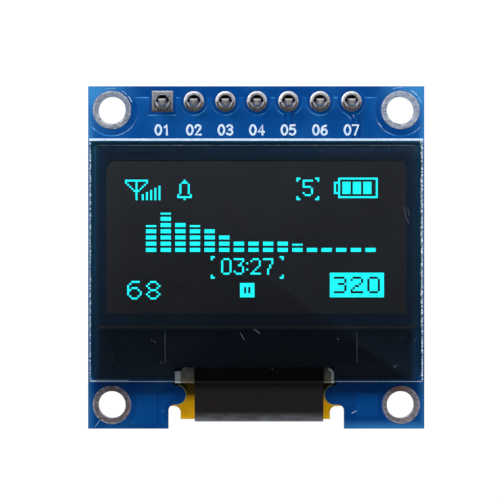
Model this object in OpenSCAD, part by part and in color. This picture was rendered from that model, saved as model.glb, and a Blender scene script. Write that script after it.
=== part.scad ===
// Small graphic display module: a glass panel on a nearly square circuit board, with
// a row of header pins, and a flex cable that wraps through a notch to the board's back.
//
// Units are millimetres. The screen faces +Z and the pin header is on the +Y side.
// The origin is the centre of the mounting holes, on the board's back face.

/* [Board] */
// Thickness of the board
board_t = 1.2; // [0.8:0.1:1.6]
// Margin of the board beside the display panel
side_margin = 0.2; // [0.1:0.05:2]
// Margin of the board above the display panel, for the pin header
top_margin = 4.45; // [4.3:0.05:6]
// Margin of the board below the display panel, for the flex cable
foot_margin = 3.89; // [3.6:0.01:6]

/* [Mounting holes] */
// Distance from a hole's centre to the two board edges beside it
hole_inset = 1.925; // [1.75:0.025:2.4]
// Radius of a finished hole
hole_r = 1.1; // [0.8:0.05:1.2]
// Width of the metal land round a hole
land_w = 0.47; // [0.3:0.01:0.5]
// Height of the metal lands above the board's faces
land_t = 0.05; // [0.03:0.01:0.08]
// Thickness of the metal that lines every drilled hole
lining_t = 0.05; // [0.03:0.01:0.08]

/* [Notch for the flex cable] */
// Gap between the flex's stem and each side of the notch's mouth
mouth_gap = 1.035; // [0.8:0.005:1.5]
// Depth of the mouth
mouth_depth = 1.95; // [1.6:0.05:2.4]
// Radius of the mouth's inner corners
mouth_corner_r = 0.52; // [0.2:0.02:0.54]
// Nose radius of the two tabs that narrow the notch
tab_r = 0.77; // [0.6:0.01:1]
// Gap between the flex's neck, if it were centred, and each tab's nose
tab_gap = 0.435; // [0.3:0.005:0.6]
// Sideways shift of the tabs from the board's centre line, towards -X
tab_shift = 0.07; // [0:0.01:0.1]
// Distance from a tab's nose out to the side of the pocket behind it
pocket_side = 0.96; // [0.7:0.02:0.98]
// Depth of the pocket behind the tabs
pocket_depth = 1.33; // [1:0.01:1.5]
// Radius of the pocket's inner corners
pocket_corner_r = 0.5; // [0.2:0.05:0.8]

/* [Pin header] */
// Distance between neighbouring pins
pin_pitch = 2.54; // [2:0.01:2.6]
// Side of a square pin
pin_w = 0.64; // [0.5:0.01:0.7]
// Length of the pins in front of the housing, through the board
pin_front = 3; // [2.4:0.1:4]
// Length of the pins behind the housing
pin_back = 6; // [4:0.1:9]
// Length of the tapered end of a pin
pin_taper = 0.45; // [0.2:0.05:0.8]
// Depth of the housing, across the row
housing_d = 2.48; // [2.2:0.02:2.5]
// Height of the housing, along the pins
housing_h = 2.54; // [1.5:0.01:3]
// Corner cut of each position of the housing
housing_cut = 0.45; // [0.2:0.05:0.6]
// Distance from the row of pads to the board's top edge
header_inset = 1.22; // [1.1:0.01:1.4]
// Sideways shift of the row from the board's centre line
header_shift = 0.06; // [0:0.01:0.2]
// Lean of the soldered header, pin tips towards the screen, in degrees
header_lean = 3; // [0:0.5:3]

/* [Header pads and solder] */
// Radial play between a pin's corners and its lined hole
pin_play = 0.0775; // [0.06:0.0025:0.1]
// Width of the solder-coated ring round a pad's hole
pad_ring = 0.305; // [0.2:0.005:0.35]
// Height of the rounded solder coat on a pad
pad_dome = 0.09; // [0.06:0.01:0.12]
// How much wider the square first pad's coat is than a round one
square_pad_extra = 0.06; // [0:0.01:0.1]
// Reach of a solder fillet out from the pin's centre
fillet_r = 0.74; // [0.6:0.01:0.78]
// Height of a solder fillet up the pin
fillet_h = 0.6; // [0.3:0.05:0.9]

/* [Display panel] */
// Width of the panel's glass
panel_w = 26.7; // [24:0.1:32]
// Height of the panel's front glass
panel_h = 19.26; // [17:0.02:24]
// Height of the ledge where the front glass stands past the rear glass
ledge_h = 4.1; // [3.6:0.05:4.6]
// Thickness of the front glass
front_glass_t = 0.7; // [0.5:0.05:1]
// Thickness of the rear cover glass
rear_glass_t = 0.55; // [0.45:0.05:0.7]
// Depth of the recess in the rear cover glass
recess_depth = 0.3; // [0.2:0.05:0.35]
// Inset of the recess from the rear cover glass's edges
recess_inset = 1.5; // [1.4:0.1:2]
// Width of the seal between the two glasses
seal_w = 1; // [0.6:0.1:1.1]
// Inset of the seal from the rear cover glass's edges
seal_inset = 0.3; // [0.1:0.05:0.4]
// Thickness of the seal
seal_t = 0.05; // [0.04:0.01:0.08]
// Thickness of the light-emitting film on the front glass
film_t = 0.02; // [0.01:0.005:0.03]
// Gap between the light-emitting film and the seal
film_gap = 0.15; // [0.1:0.05:0.4]
// Width of the cut across the film's upper corners
film_cut_w = 1; // [0.5:0.1:1.5]
// Height of the cut across the film's upper corners
film_cut_h = 1.7; // [0.5:0.1:2]
// Thickness of the drying sheet in the recess
drying_sheet_t = 0.15; // [0.1:0.01:0.19]
// Gap between the drying sheet and the recess's walls
drying_sheet_gap = 0.6; // [0.3:0.1:1]
// Thickness of the polarizer
polarizer_t = 0.2; // [0.15:0.01:0.3]
// Glass margin beside the polarizer
polarizer_side = 0.505; // [0.2:0.005:0.8]
// Glass margin above the polarizer
polarizer_top = 0.36; // [0.1:0.01:0.6]
// Distance from the rear cover glass's lower edge up to the polarizer
polarizer_foot = 0.1; // [0.05:0.05:0.3]
// Thickness of the foam tape under the panel
tape_t = 0.15; // [0.1:0.05:0.5]
// Inset of the foam tape from the rear cover glass's edges
tape_inset = 1.4; // [0.8:0.1:3]

/* [Ledge] */
// Width of the driver chip
chip_w = 6.76; // [5:0.02:9]
// Depth of the driver chip
chip_d = 0.86; // [0.7:0.02:1.1]
// Thickness of the driver chip
chip_t = 0.3; // [0.2:0.02:0.34]
// Distance from the glass's lower edge to the chip's centre
chip_rise = 2.7; // [2:0.05:2.9]
// Thickness of the black coating behind the ledge
coating_t = 0.38; // [0.36:0.02:0.5]
// Inset of the coating from the ledge's open edges
coating_inset = 0.1; // [0.05:0.05:0.5]
// Radius of the coating's lower corners
coating_corner_r = 0.7; // [0.3:0.1:1]

/* [Flex cable] */
// Width of the flex's neck
neck_w = 10.35; // [9:0.05:10.5]
// Sideways shift of the neck from the board's centre line
neck_shift = 0.225; // [0:0.025:0.25]
// Length of the neck that is bonded to the glass
bond_len = 1.06; // [0.8:0.02:1.3]
// Distance from the board's lower edge to the outside of the bend
bend_inset = 0.56; // [0.3:0.02:0.8]
// Thickness of the flex's amber base film
base_t = 0.06; // [0.04:0.01:0.1]
// Thickness of the black cover film
cover_t = 0.04; // [0.02:0.01:0.06]
// Width of the step from the neck out to the stem behind the bend
shoulder_w = 0.865; // [0.6:0.005:1]
// Distance from the outside of the bend up to the stem's shoulders
shoulder_rise = 0.18; // [0.1:0.02:0.4]
// Sideways shift of the stem and tail from the board's centre line, towards -X
tail_shift = 0.075; // [0:0.005:0.1]
// How far the tail's lower edge lies below the top of the notch's mouth
tail_drop = 0.19; // [0.1:0.01:0.3]
// Gap between the flex's tail and the land of the nearest mounting hole
tail_side_gap = 0.18; // [0.1:0.005:0.6]
// Height of the tail on the board's back
tail_h = 6.44; // [5.5:0.01:7]
// Radius between the stem and the tail
tail_fillet_r = 0.53; // [0.3:0.01:0.9]
// Radius of the tail's outer corners
tail_corner_r = 0.6; // [0.2:0.1:1]
// Bare margin of the base film round the cover film
cover_margin = 0.15; // [0.05:0.05:0.3]
// How far above the tail's lower edge the cover film widens from the neck to the tail
cover_tail_gap = 0.9; // [0.5:0.05:1.2]
// Margin of the tail beside its row of fingers
finger_margin = 0.65; // [0.3:0.05:1]
// Width of a soldered finger
finger_w = 0.32; // [0.2:0.02:0.4]
// Length of a soldered finger on the tail
finger_len = 1.4; // [1:0.1:2]
// Length of the solder on the board past the tail's end
solder_toe = 0.5; // [0.3:0.05:0.8]
// Height of the solder over a finger
solder_h = 0.1; // [0.05:0.01:0.15]

/* [Glue beads] */
// Width of the left glue bead beside the flex's neck
bead_left_w = 1.59; // [0.6:0.01:1.7]
// Width of the right glue bead beside the flex's neck
bead_right_w = 0.87; // [0.6:0.01:1.2]
// Height of the beads behind the glass, up from its lower edge
bead_rise = 1.09; // [0.8:0.01:1.3]
// Height of the beads below the glass's lower edge
bead_foot = 0.2; // [0.1:0.02:0.4]
// Thickness of the beads behind the glass
bead_t = 0.36; // [0.2:0.02:0.5]
// Corner radius of the beads
bead_corner_r = 0.4; // [0.1:0.05:0.42]

/* [Parts on the back] */
// Length of a chip capacitor or resistor
chip_part_l = 1.6; // [1:0.1:1.8]
// Width of a chip capacitor or resistor
chip_part_w = 0.8; // [0.5:0.05:1]
// Height of a chip capacitor
capacitor_h = 0.8; // [0.5:0.05:1]
// Height of a chip resistor
resistor_h = 0.45; // [0.3:0.05:0.6]
// Length of a chip part's metal end
chip_end_l = 0.32; // [0.2:0.02:0.4]
// Reach of the solder at a chip part's end
chip_solder = 0.22; // [0.1:0.02:0.3]
// Distance between neighbouring chip parts
part_pitch = 2; // [1.8:0.1:2.2]
// Gap between the header's housing and the row of parts beside it
header_row_gap = 0.9; // [0.4:0.1:1.5]
// Gap between the solder on the flex and the row of parts beside it
tail_row_gap = 0.8; // [0.4:0.1:1.5]
// Length of the regulator's body
regulator_l = 2.9; // [2.6:0.1:3.1]
// Depth of the regulator's body
regulator_d = 1.3; // [1.1:0.1:1.4]
// Height of the regulator's body
regulator_h = 1; // [0.8:0.05:1.2]
// Width across the regulator's leads
regulator_span = 2.4; // [2.2:0.05:2.6]
// Length of the diode's body
diode_l = 1.7; // [1.5:0.1:1.9]
// Depth of the diode's body
diode_d = 1.25; // [1.1:0.05:1.4]
// Height of the diode's body
diode_h = 0.9; // [0.7:0.05:1.1]
// Width across the diode's leads
diode_span = 2.5; // [2.3:0.05:2.7]
// Thickness of a lead
lead_t = 0.12; // [0.1:0.01:0.15]
// Width of a lead
lead_w = 0.4; // [0.3:0.05:0.5]
// How deep a lead is rooted in its body
lead_root = 0.15; // [0.1:0.01:0.2]
// Share of a lead's overhang that it covers before it bends down
lead_knee_share = 0.18; // [0.1:0.01:0.3]
// Pitch of the regulator's leads
lead_pitch = 0.95; // [0.9:0.05:1]

/* [Hidden] */
$fn = 64;
pin_count = 7;
finger_count = 30;
header_cap_count = 3;

// Overlap of pieces that are fused, and how far a cutting shape runs past a face
fuse = 0.02;
past = 1;

// Finished holes and lands
land_r = hole_r + land_w;
pad_hole_r = pin_w / sqrt(2) + pin_play;
pad_r = pad_hole_r + pad_ring;

// The board carries the panel with a margin on every side
board_w = panel_w + 2 * side_margin;
board_h = panel_h + top_margin + foot_margin;
board_top = board_h / 2;
board_foot = -board_h / 2;

// The notch, from the board's lower edge upwards, as wide as the flex asks
stem_w = neck_w + 2 * shoulder_w;
mouth_w = stem_w + 2 * mouth_gap;
nose_gap = neck_w + 2 * tab_gap;
pocket_w = nose_gap + 2 * pocket_side;
mouth_top = board_foot + mouth_depth;
tab_y = mouth_top + tab_r;
tab_x = nose_gap / 2 + tab_r;
pocket_top = tab_y + tab_r + pocket_depth;

// The header's housing rests on the upper edges of the pads on the board's back, and its
// pins lean on the lower side of their holes at the board's front
pad_y = board_top - header_inset;
pin_side_gap = 0.01;
pin_slip = sqrt(pow(pad_hole_r, 2) - pow(pin_w / 2, 2)) - pin_w / 2 - pin_side_gap;
pin_run = board_t * tan(header_lean);
lean_lift = (land_t + (pad_r + pin_slip - pin_run) * tan(header_lean)) * pow(cos(header_lean), 2);
header_y = pad_y - pin_slip + (board_t + lean_lift) * tan(header_lean);
pin_tip_w = pin_w / 2;

// The panel's layers, from the board's front upwards
tape_z = board_t;
rear_glass_z = tape_z + tape_t;
seal_z = rear_glass_z + rear_glass_t;
front_glass_z = seal_z + seal_t;
polarizer_z = front_glass_z + front_glass_t;

// The panel's edges
panel_top = board_top - top_margin;
panel_foot = panel_top - panel_h;
rear_glass_foot = panel_foot + ledge_h;
rear_glass_h = panel_h - ledge_h;
rear_glass_y = (panel_top + rear_glass_foot) / 2;
film_inset = seal_inset + seal_w + film_gap;

// The flex: its base film lies against the glass, bends round, and lies on the board's back
flex_front_z = front_glass_z;
bend_z = (flex_front_z - base_t) / 2;
base_r = (flex_front_z + base_t) / 2;
cover_r = base_r + cover_t;
bend_y = board_foot + bend_inset + cover_r;
shoulder_y = board_foot + bend_inset + shoulder_rise;
tail_foot = mouth_top - tail_drop;
tail_top = tail_foot + tail_h;
tail_w = board_w - 2 * (hole_inset + land_r + tail_side_gap + tail_shift);
finger_pitch = (tail_w - finger_w - 2 * finger_margin) / (finger_count - 1);
cover_start = panel_foot - 0.05;
cover_end = tail_top - finger_len - 0.1;

// Rows of parts on the back, placed from the flex's tail and from the header
tail_row_y = tail_top + solder_toe + tail_row_gap + chip_part_l / 2;
header_row_y = header_y - housing_d / 2 - header_row_gap - regulator_l / 2;
middle_row_y = (tail_row_y + header_row_y) / 2;

// Every node of the model

// ---------------------------------------------------------------- places

// Centre of mounting hole 1 to 4: top left, top right, bottom left, bottom right
function hole_place(i) = [
    (i % 2 == 1 ? -1 : 1) * (board_w / 2 - hole_inset),
    (i <= 2 ? 1 : -1) * (board_h / 2 - hole_inset)
];

// Centre of header position 1 to 7, from the left
function pin_x(i) = header_shift + (i - (pin_count + 1) / 2) * pin_pitch;

// The header's own frame: x along the row, z along the pins, z = 0 on the housing's face
module header_frame() {
    translate([0, header_y, -lean_lift])
    rotate([header_lean, 0, 0])
    children();
}

// Turns an outline drawn in (y, z) into a bar along x, from x_from to x_to
module bar_along_x(x_from, x_to) {
    translate([x_from, 0, 0])
    rotate([90, 0, 90])
    linear_extrude(x_to - x_from)
    children();
}

// Turns a part that is drawn standing on z = 0 over to the board's back
module on_back() {
    mirror([0, 0, 1])
    children();
}

// ---------------------------------------------------------------- outlines

// Rectangle centred on x = 0, with its two upper corners rounded
module round_topped(w, foot, top, r) {
    translate([-w / 2, foot]) square([w, top - foot - r]);
    translate([r - w / 2, foot]) square([w - 2 * r, top - foot]);
    for (side = [-1, 1])
        translate([side * (w / 2 - r), top - r]) circle(r = r);
}

// The same shape upside down: its two lower corners are rounded
module round_footed(w, foot, top, r) {
    mirror([0, 1]) round_topped(w, -top, -foot, r);
}

// The notch: a wide mouth, two round-nosed tabs and a pocket
module notch_outline() {
    difference() {
        union() {
            round_topped(mouth_w, board_foot - past, mouth_top, mouth_corner_r);
            translate([-tab_shift, 0])
                round_topped(pocket_w, mouth_top - mouth_corner_r / 2, pocket_top, pocket_corner_r);
        }
        for (side = [-1, 1])
            translate([side * tab_x - tab_shift, tab_y]) {
                circle(r = tab_r);
                translate([side > 0 ? 0 : -mouth_w, -tab_r]) square([mouth_w, 2 * tab_r]);
            }
    }
}

// Rectangle as large as the rear cover glass, less an inset on every side
module rear_glass_outline(inset) {
    translate([0, rear_glass_y])
    square([panel_w - 2 * inset, rear_glass_h - 2 * inset], center = true);
}

// Section of a film, in (y, z): front run, half-round bend and rear run
module film_section(outer_r, thickness, front_end, rear_end) {
    translate([bend_y, bend_z + outer_r - thickness]) square([front_end - bend_y, thickness]);
    translate([bend_y, bend_z - outer_r]) square([rear_end - bend_y, thickness]);
    translate([bend_y, bend_z])
    difference() {
        circle(r = outer_r);
        circle(r = outer_r - thickness);
        translate([0, -outer_r - past]) square([outer_r + past, 2 * (outer_r + past)]);
    }
}

// The neck's outline, as seen from the front
module neck_outline() {
    translate([neck_shift - neck_w / 2, board_foot]) square([neck_w, board_h]);
}

// The tail's outline: a stem with shoulders, fillets, and a wide tail with round corners
module tail_outline() {
    translate([-stem_w / 2, shoulder_y]) square([stem_w, tail_foot - shoulder_y + fuse]);
    for (side = [-1, 1])
        translate([side * stem_w / 2, tail_foot])
        difference() {
            translate([side > 0 ? -fuse : -tail_fillet_r, -tail_fillet_r])
                square([tail_fillet_r + fuse, tail_fillet_r + fuse]);
            translate([side * tail_fillet_r, -tail_fillet_r]) circle(r = tail_fillet_r);
        }
    round_footed(tail_w, tail_foot, tail_top, tail_corner_r);
}

// The cover film's outline on the tail: as wide as the tail, less a margin, and no stem
module cover_tail_outline() {
    round_footed(tail_w - 2 * cover_margin, tail_foot + cover_tail_gap, tail_top,
        tail_corner_r - cover_margin);
}

// A film of the flex: its section, trimmed to the neck in front and to the tail behind,
// whose outline is the child
module flex_film(outer_r, thickness, front_end, rear_end) {
    intersection() {
        bar_along_x(-tail_w / 2 - tail_shift, tail_w / 2)
            film_section(outer_r, thickness, front_end, rear_end);
        union() {
            translate([0, 0, bend_z - fuse]) linear_extrude(cover_r + past) neck_outline();
            translate([0, 0, bend_z - cover_r - past])
            linear_extrude(cover_r + past) {
                neck_outline();
                translate([-tail_shift, 0]) children();
            }
        }
    }
}

// ---------------------------------------------------------------- board and its holes

module board() {
    color("royalblue")
    linear_extrude(board_t)
    difference() {
        square([board_w, board_h], center = true);
        notch_outline();
        for (i = [1:4])
            translate(hole_place(i)) circle(r = hole_r + lining_t);
        for (i = [1:pin_count])
            translate([pin_x(i), pad_y]) circle(r = pad_hole_r + lining_t);
    }
}

// Metal lining of a mounting hole, with a land on both faces
module mount_hole_plating(i) {
    color("silver")
    translate(hole_place(i))
    rotate_extrude()
    polygon([
        [hole_r, -land_t / 2],
        [hole_r + land_t / 2, -land_t],
        [land_r - land_t, -land_t],
        [land_r, 0],
        [hole_r + lining_t, 0],
        [hole_r + lining_t, board_t],
        [land_r, board_t],
        [land_r - land_t, board_t + land_t],
        [hole_r + land_t / 2, board_t + land_t],
        [hole_r, board_t + land_t / 2]
    ]);
}

// Round solder coat of a pad, standing on z = 0: it rises steeply at its rim, is highest
// at its crown, and sinks towards the hole
module pad_coat() {
    rim_in = 0.12;
    crown_in = 0.4;
    inner_in = 0.7;
    rim_rise = 0.6;
    inner_rise = 0.95;
    hole_rise = 0.55;
    rotate_extrude()
    polygon([
        [pad_hole_r, 0],
        [pad_r, 0],
        [pad_r - pad_ring * rim_in, pad_dome * rim_rise],
        [pad_r - pad_ring * crown_in, pad_dome],
        [pad_r - pad_ring * inner_in, pad_dome * inner_rise],
        [pad_hole_r, pad_dome * hole_rise]
    ]);
}

// Square solder coat of the first pad, standing on z = 0, with sloping sides
module square_pad_coat() {
    side = 2 * pad_r + square_pad_extra;
    difference() {
        intersection() {
            bar_along_x(-side / 2, side / 2) square_coat_section(side);
            rotate([0, 0, 90]) bar_along_x(-side / 2, side / 2) square_coat_section(side);
        }
        translate([0, 0, -past]) cylinder(r = pad_hole_r, h = 2 * past);
    }
}

module square_coat_section(side) {
    rim_in = 0.05;
    flat_in = 0.16;
    rim_z = pad_dome * 0.7;
    flat_z = pad_dome * 0.9;
    polygon([
        [-side / 2, 0],
        [side / 2, 0],
        [side / 2 - rim_in, rim_z],
        [side / 2 - flat_in, flat_z],
        [flat_in - side / 2, flat_z],
        [rim_in - side / 2, rim_z]
    ]);
}

// Lined header hole with a solder-coated pad in front and a flat pad behind
module header_pad(i) {
    color("gainsboro")
    translate([pin_x(i), pad_y, 0]) {
        rotate_extrude()
            translate([pad_hole_r, -land_t]) square([lining_t, board_t + land_t + fuse]);
        translate([0, 0, -land_t])
        linear_extrude(land_t)
        difference() {
            if (i == 1) square(2 * pad_r, center = true);
            else circle(r = pad_r);
            circle(r = pad_hole_r + lining_t - fuse / 2);
        }
        translate([0, 0, board_t])
            if (i == 1) square_pad_coat();
            else pad_coat();
    }
}

// ---------------------------------------------------------------- pin header

// Side view of a pin, in the header's frame: tapered at both ends
module pin_section() {
    low = -housing_h - pin_back;
    polygon([
        [-pin_tip_w / 2, low],
        [pin_tip_w / 2, low],
        [pin_w / 2, low + pin_taper],
        [pin_w / 2, pin_front - pin_taper],
        [pin_tip_w / 2, pin_front],
        [-pin_tip_w / 2, pin_front],
        [-pin_w / 2, pin_front - pin_taper],
        [-pin_w / 2, low + pin_taper]
    ]);
}

module pin_shape() {
    intersection() {
        bar_along_x(-pin_w / 2, pin_w / 2) pin_section();
        rotate([0, 0, 90]) bar_along_x(-pin_w / 2, pin_w / 2) pin_section();
    }
}

module header_pin(i) {
    color("lightgray")
    header_frame()
    translate([pin_x(i), 0, 0])
    pin_shape();
}

// One position of the housing, with its four corners cut
module housing_position_outline() {
    half_w = pin_pitch / 2;
    half_d = housing_d / 2;
    polygon([
        [-half_w, housing_cut - half_d],
        [housing_cut - half_w, -half_d],
        [half_w - housing_cut, -half_d],
        [half_w, housing_cut - half_d],
        [half_w, half_d - housing_cut],
        [half_w - housing_cut, half_d],
        [housing_cut - half_w, half_d],
        [-half_w, half_d - housing_cut]
    ]);
}

// Black strip that holds the pins, notched between its positions
module header_housing() {
    color("#181818")
    header_frame()
    translate([0, 0, -housing_h])
    linear_extrude(housing_h)
    difference() {
        for (i = [1:pin_count])
            translate([pin_x(i), 0]) housing_position_outline();
        for (i = [1:pin_count])
            translate([pin_x(i), 0]) square(pin_w, center = true);
    }
}

// Side view of the solder round a pin: a plug in the hole and a hollow fillet above it
module solder_section() {
    steps = 6;
    fillet_z = board_t + fillet_h;
    polygon(concat(
        [[0, board_t / 3], [pad_hole_r, board_t / 3], [pad_hole_r, board_t], [fillet_r, board_t]],
        [for (k = [0:steps])
            let (turn = 90 * k / steps)
            [
                fillet_r - (fillet_r - pin_w / 2) * sin(turn),
                fillet_z - (fillet_h - pad_dome) * cos(turn)
            ]
        ],
        [[0, fillet_z]]
    ));
}

// Solder on the lower side of a pin, which leaves the upper side of the hole open
module solder_joint(i) {
    color("darkgray")
    difference() {
        intersection() {
            translate([pin_x(i), pad_y, 0])
                rotate_extrude() solder_section();
            translate([pin_x(i) - pad_r, pad_y - 2 * pad_r - pin_slip / 2, 0])
                cube([2 * pad_r, 2 * pad_r, board_t + pin_front]);
        }
        header_pin(i);
        header_pad(i);
    }
}

// ---------------------------------------------------------------- display panel

// Double-sided foam tape that holds the panel on the board
module foam_tape() {
    color("whitesmoke")
    translate([0, 0, tape_z])
    linear_extrude(tape_t)
    rear_glass_outline(tape_inset);
}

// Rear cover glass, with an etched recess on the side of the film
module rear_cover_glass() {
    color("lightblue", 0.4)
    difference() {
        translate([0, 0, rear_glass_z])
            linear_extrude(rear_glass_t) rear_glass_outline(0);
        translate([0, 0, seal_z - recess_depth])
            linear_extrude(recess_depth + past) rear_glass_outline(recess_inset);
    }
}

// Drying sheet, stuck to the floor of the recess
module drying_sheet() {
    color("lightgray")
    translate([0, 0, seal_z - recess_depth])
    linear_extrude(drying_sheet_t)
    rear_glass_outline(recess_inset + drying_sheet_gap);
}

// Ring of epoxy between the two glasses
module edge_seal() {
    color("dimgray")
    translate([0, 0, seal_z])
    linear_extrude(seal_t)
    difference() {
        rear_glass_outline(seal_inset);
        rear_glass_outline(seal_inset + seal_w);
    }
}

// Light-emitting film on the back of the front glass
module light_film() {
    half_w = panel_w / 2 - film_inset;
    low = rear_glass_foot + film_inset;
    high = panel_top - film_inset;
    color("#2b2d30")
    translate([0, 0, front_glass_z - film_t])
    linear_extrude(film_t)
    polygon([
        [-half_w, low],
        [half_w, low],
        [half_w, high - film_cut_h],
        [half_w - film_cut_w, high],
        [film_cut_w - half_w, high],
        [-half_w, high - film_cut_h]
    ]);
}

module front_glass() {
    color("lightblue", 0.4)
    translate([-panel_w / 2, panel_foot, front_glass_z])
    cube([panel_w, panel_h, front_glass_t]);
}

module polarizer() {
    foot = rear_glass_foot + polarizer_foot;
    color("#202226")
    translate([polarizer_side - panel_w / 2, foot, polarizer_z])
    cube([panel_w - 2 * polarizer_side, panel_top - polarizer_top - foot, polarizer_t]);
}

// ---------------------------------------------------------------- ledge

module driver_chip() {
    color("#303236")
    translate([-chip_w / 2, panel_foot + chip_rise - chip_d / 2, front_glass_z - chip_t])
    cube([chip_w, chip_d, chip_t]);
}

// Rectangle of the coating, with its two lower corners rounded
module coating_outline() {
    round_footed(panel_w - 2 * coating_inset, panel_foot + coating_inset, rear_glass_foot,
        coating_corner_r);
}

// The area at the ledge's lower edge that the flex and the glue beads fill
module bond_outline() {
    left = neck_shift - neck_w / 2 - bead_left_w;
    right = neck_shift + neck_w / 2 + bead_right_w;
    translate([left, panel_foot - past])
        square([right - left, past + max(bond_len, bead_rise)]);
}

// Black coating on the back of the ledge, cast round the driver chip
module ledge_coating() {
    color("#0c0d10")
    difference() {
        translate([0, 0, front_glass_z - coating_t])
        linear_extrude(coating_t)
        difference() {
            coating_outline();
            bond_outline();
        }
        driver_chip();
    }
}

// ---------------------------------------------------------------- flex cable

// Amber base film, from its bond on the glass to the end of its tail
module flex_base() {
    color("goldenrod")
    flex_film(base_r, base_t, panel_foot + bond_len, tail_top)
    tail_outline();
}

// Black cover film on the outside of the base film, up to the contact fingers
module flex_cover() {
    color("#1e191b")
    flex_film(cover_r, cover_t, cover_start, cover_end)
    cover_tail_outline();
}

// Side view of the solder on one finger: over the tail, and down to the board past its end
module finger_solder_section() {
    polygon([
        [tail_top - finger_len, base_t],
        [tail_top, base_t],
        [tail_top, 0],
        [tail_top + solder_toe, 0],
        [tail_top + solder_toe - 0.1, solder_h * 0.6],
        [tail_top, base_t + solder_h],
        [tail_top - finger_len + 0.2, base_t + solder_h * 0.8]
    ]);
}

module flex_solder_row() {
    color("silver")
    on_back()
    for (i = [1:finger_count])
        translate([(i - (finger_count + 1) / 2) * finger_pitch - tail_shift, 0, 0])
        bar_along_x(-finger_w / 2, finger_w / 2)
        finger_solder_section();
}

// A glue bead beside the neck: behind the glass, and up against the glass's lower edge
module glue_bead(x_from, x_to, round_side) {
    climb = front_glass_t * 0.4;
    low = panel_foot - bead_foot;
    high = panel_foot + bead_rise;
    corner_x = round_side < 0 ? x_from + bead_corner_r : x_to - bead_corner_r;
    color("#b9b7a8")
    intersection() {
        bar_along_x(x_from, x_to)
        polygon([
            [low, front_glass_z - bead_t],
            [high, front_glass_z - bead_t],
            [high, front_glass_z],
            [panel_foot, front_glass_z],
            [panel_foot, front_glass_z + climb],
            [panel_foot - bead_foot * 0.4, front_glass_z + climb * 0.8],
            [low, front_glass_z]
        ]);
        translate([0, 0, front_glass_z - bead_t - past])
        linear_extrude(bead_t + climb + 2 * past) {
            translate([x_from, low]) square([x_to - x_from, high - low - bead_corner_r]);
            translate([round_side < 0 ? corner_x : x_from, low])
                square([x_to - x_from - bead_corner_r, high - low]);
            translate([corner_x, high - bead_corner_r]) circle(r = bead_corner_r);
        }
    }
}

module glue_bead_left() {
    edge = neck_shift - neck_w / 2;
    glue_bead(edge - bead_left_w, edge, -1);
}

module glue_bead_right() {
    edge = neck_shift + neck_w / 2;
    glue_bead(edge, edge + bead_right_w, 1);
}

// ---------------------------------------------------------------- parts on the back

// Chip part along y: a body between two metal ends, each with a wedge of solder
module chip_part(h) {
    body_gap = 0.03;
    half_l = chip_part_l / 2;
    translate([body_gap - chip_part_w / 2, chip_end_l - half_l - fuse, body_gap])
        cube([chip_part_w - 2 * body_gap, chip_part_l - 2 * chip_end_l + 2 * fuse,
            h - 2 * body_gap]);
    for (side = [-1, 1])
        mirror([0, side > 0 ? 1 : 0, 0])
        bar_along_x(-chip_part_w / 2, chip_part_w / 2)
        polygon([
            [-half_l - chip_solder, 0],
            [-half_l, h * 0.55],
            [-half_l, h],
            [chip_end_l - half_l, h],
            [chip_end_l - half_l, 0]
        ]);
}

// Moulded body with sides that slope to a parting line at mid height
module moulded_body(l, d, h) {
    slope = 0.08;
    stand = 0.04;
    intersection() {
        bar_along_x(-l / 2, l / 2) moulded_section(d, h, slope, stand);
        rotate([0, 0, 90]) bar_along_x(-d / 2, d / 2) moulded_section(l, h, slope, stand);
    }
}

module moulded_section(w, h, slope, stand) {
    polygon([
        [slope - w / 2, stand],
        [w / 2 - slope, stand],
        [w / 2, h / 2],
        [w / 2 - slope, h],
        [slope - w / 2, h],
        [-w / 2, h / 2]
    ]);
}

// Lead that leaves a body at half its height and steps down to the board, towards +y
module gull_lead(body_d, h, span) {
    root = body_d / 2 - lead_root;
    knee = body_d / 2 + (span - body_d) * lead_knee_share;
    toe = span / 2;
    bar_along_x(-lead_w / 2, lead_w / 2)
    polygon([
        [root, h / 2 - lead_t / 2],
        [knee - lead_t / 2, h / 2 - lead_t / 2],
        [knee, 0],
        [toe, 0],
        [toe, lead_t],
        [knee + lead_t, lead_t],
        [knee + lead_t / 2, h / 2 + lead_t / 2],
        [root, h / 2 + lead_t / 2]
    ]);
}

// Three-leaded voltage regulator, at the left of the row by the header
module regulator() {
    color("#1a1a1c")
    on_back()
    translate([-4 * part_pitch, header_row_y, 0])
    rotate([0, 0, 90]) {
        moulded_body(regulator_l, regulator_d, regulator_h);
        gull_lead(regulator_d, regulator_h, regulator_span);
        for (side = [-1, 1])
            translate([side * lead_pitch, 0, 0])
            mirror([0, 1, 0])
            gull_lead(regulator_d, regulator_h, regulator_span);
    }
}

// Two-leaded diode, at the right of the row by the header
module diode() {
    color("#1a1a1c")
    on_back()
    translate([4 * part_pitch, header_row_y, 0]) {
        moulded_body(diode_d, diode_l, diode_h);
        for (side = [-1, 1])
            mirror([0, side > 0 ? 0 : 1, 0])
            gull_lead(diode_l, diode_h, diode_span);
    }
}

// Capacitors 1 to 3 stand in the row by the header, and 4 to 8 in the row by the tail
function capacitor_place(i) = i <= header_cap_count
    ? [(i - 2) * part_pitch - part_pitch, header_row_y]
    : [(i - 6) * part_pitch - part_pitch, tail_row_y];

module capacitor(i) {
    color("#a98c6a")
    on_back()
    translate(capacitor_place(i))
    chip_part(capacitor_h);
}

// Resistors 1 to 6 stand in the middle row, and 7 ends the row by the tail
function resistor_place(i) = i <= 6
    ? [(i - 3.5) * part_pitch, middle_row_y]
    : [3 * part_pitch, tail_row_y];

module resistor(i) {
    color("#202022")
    on_back()
    translate(resistor_place(i))
    chip_part(resistor_h);
}

// ---------------------------------------------------------------- the model

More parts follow.
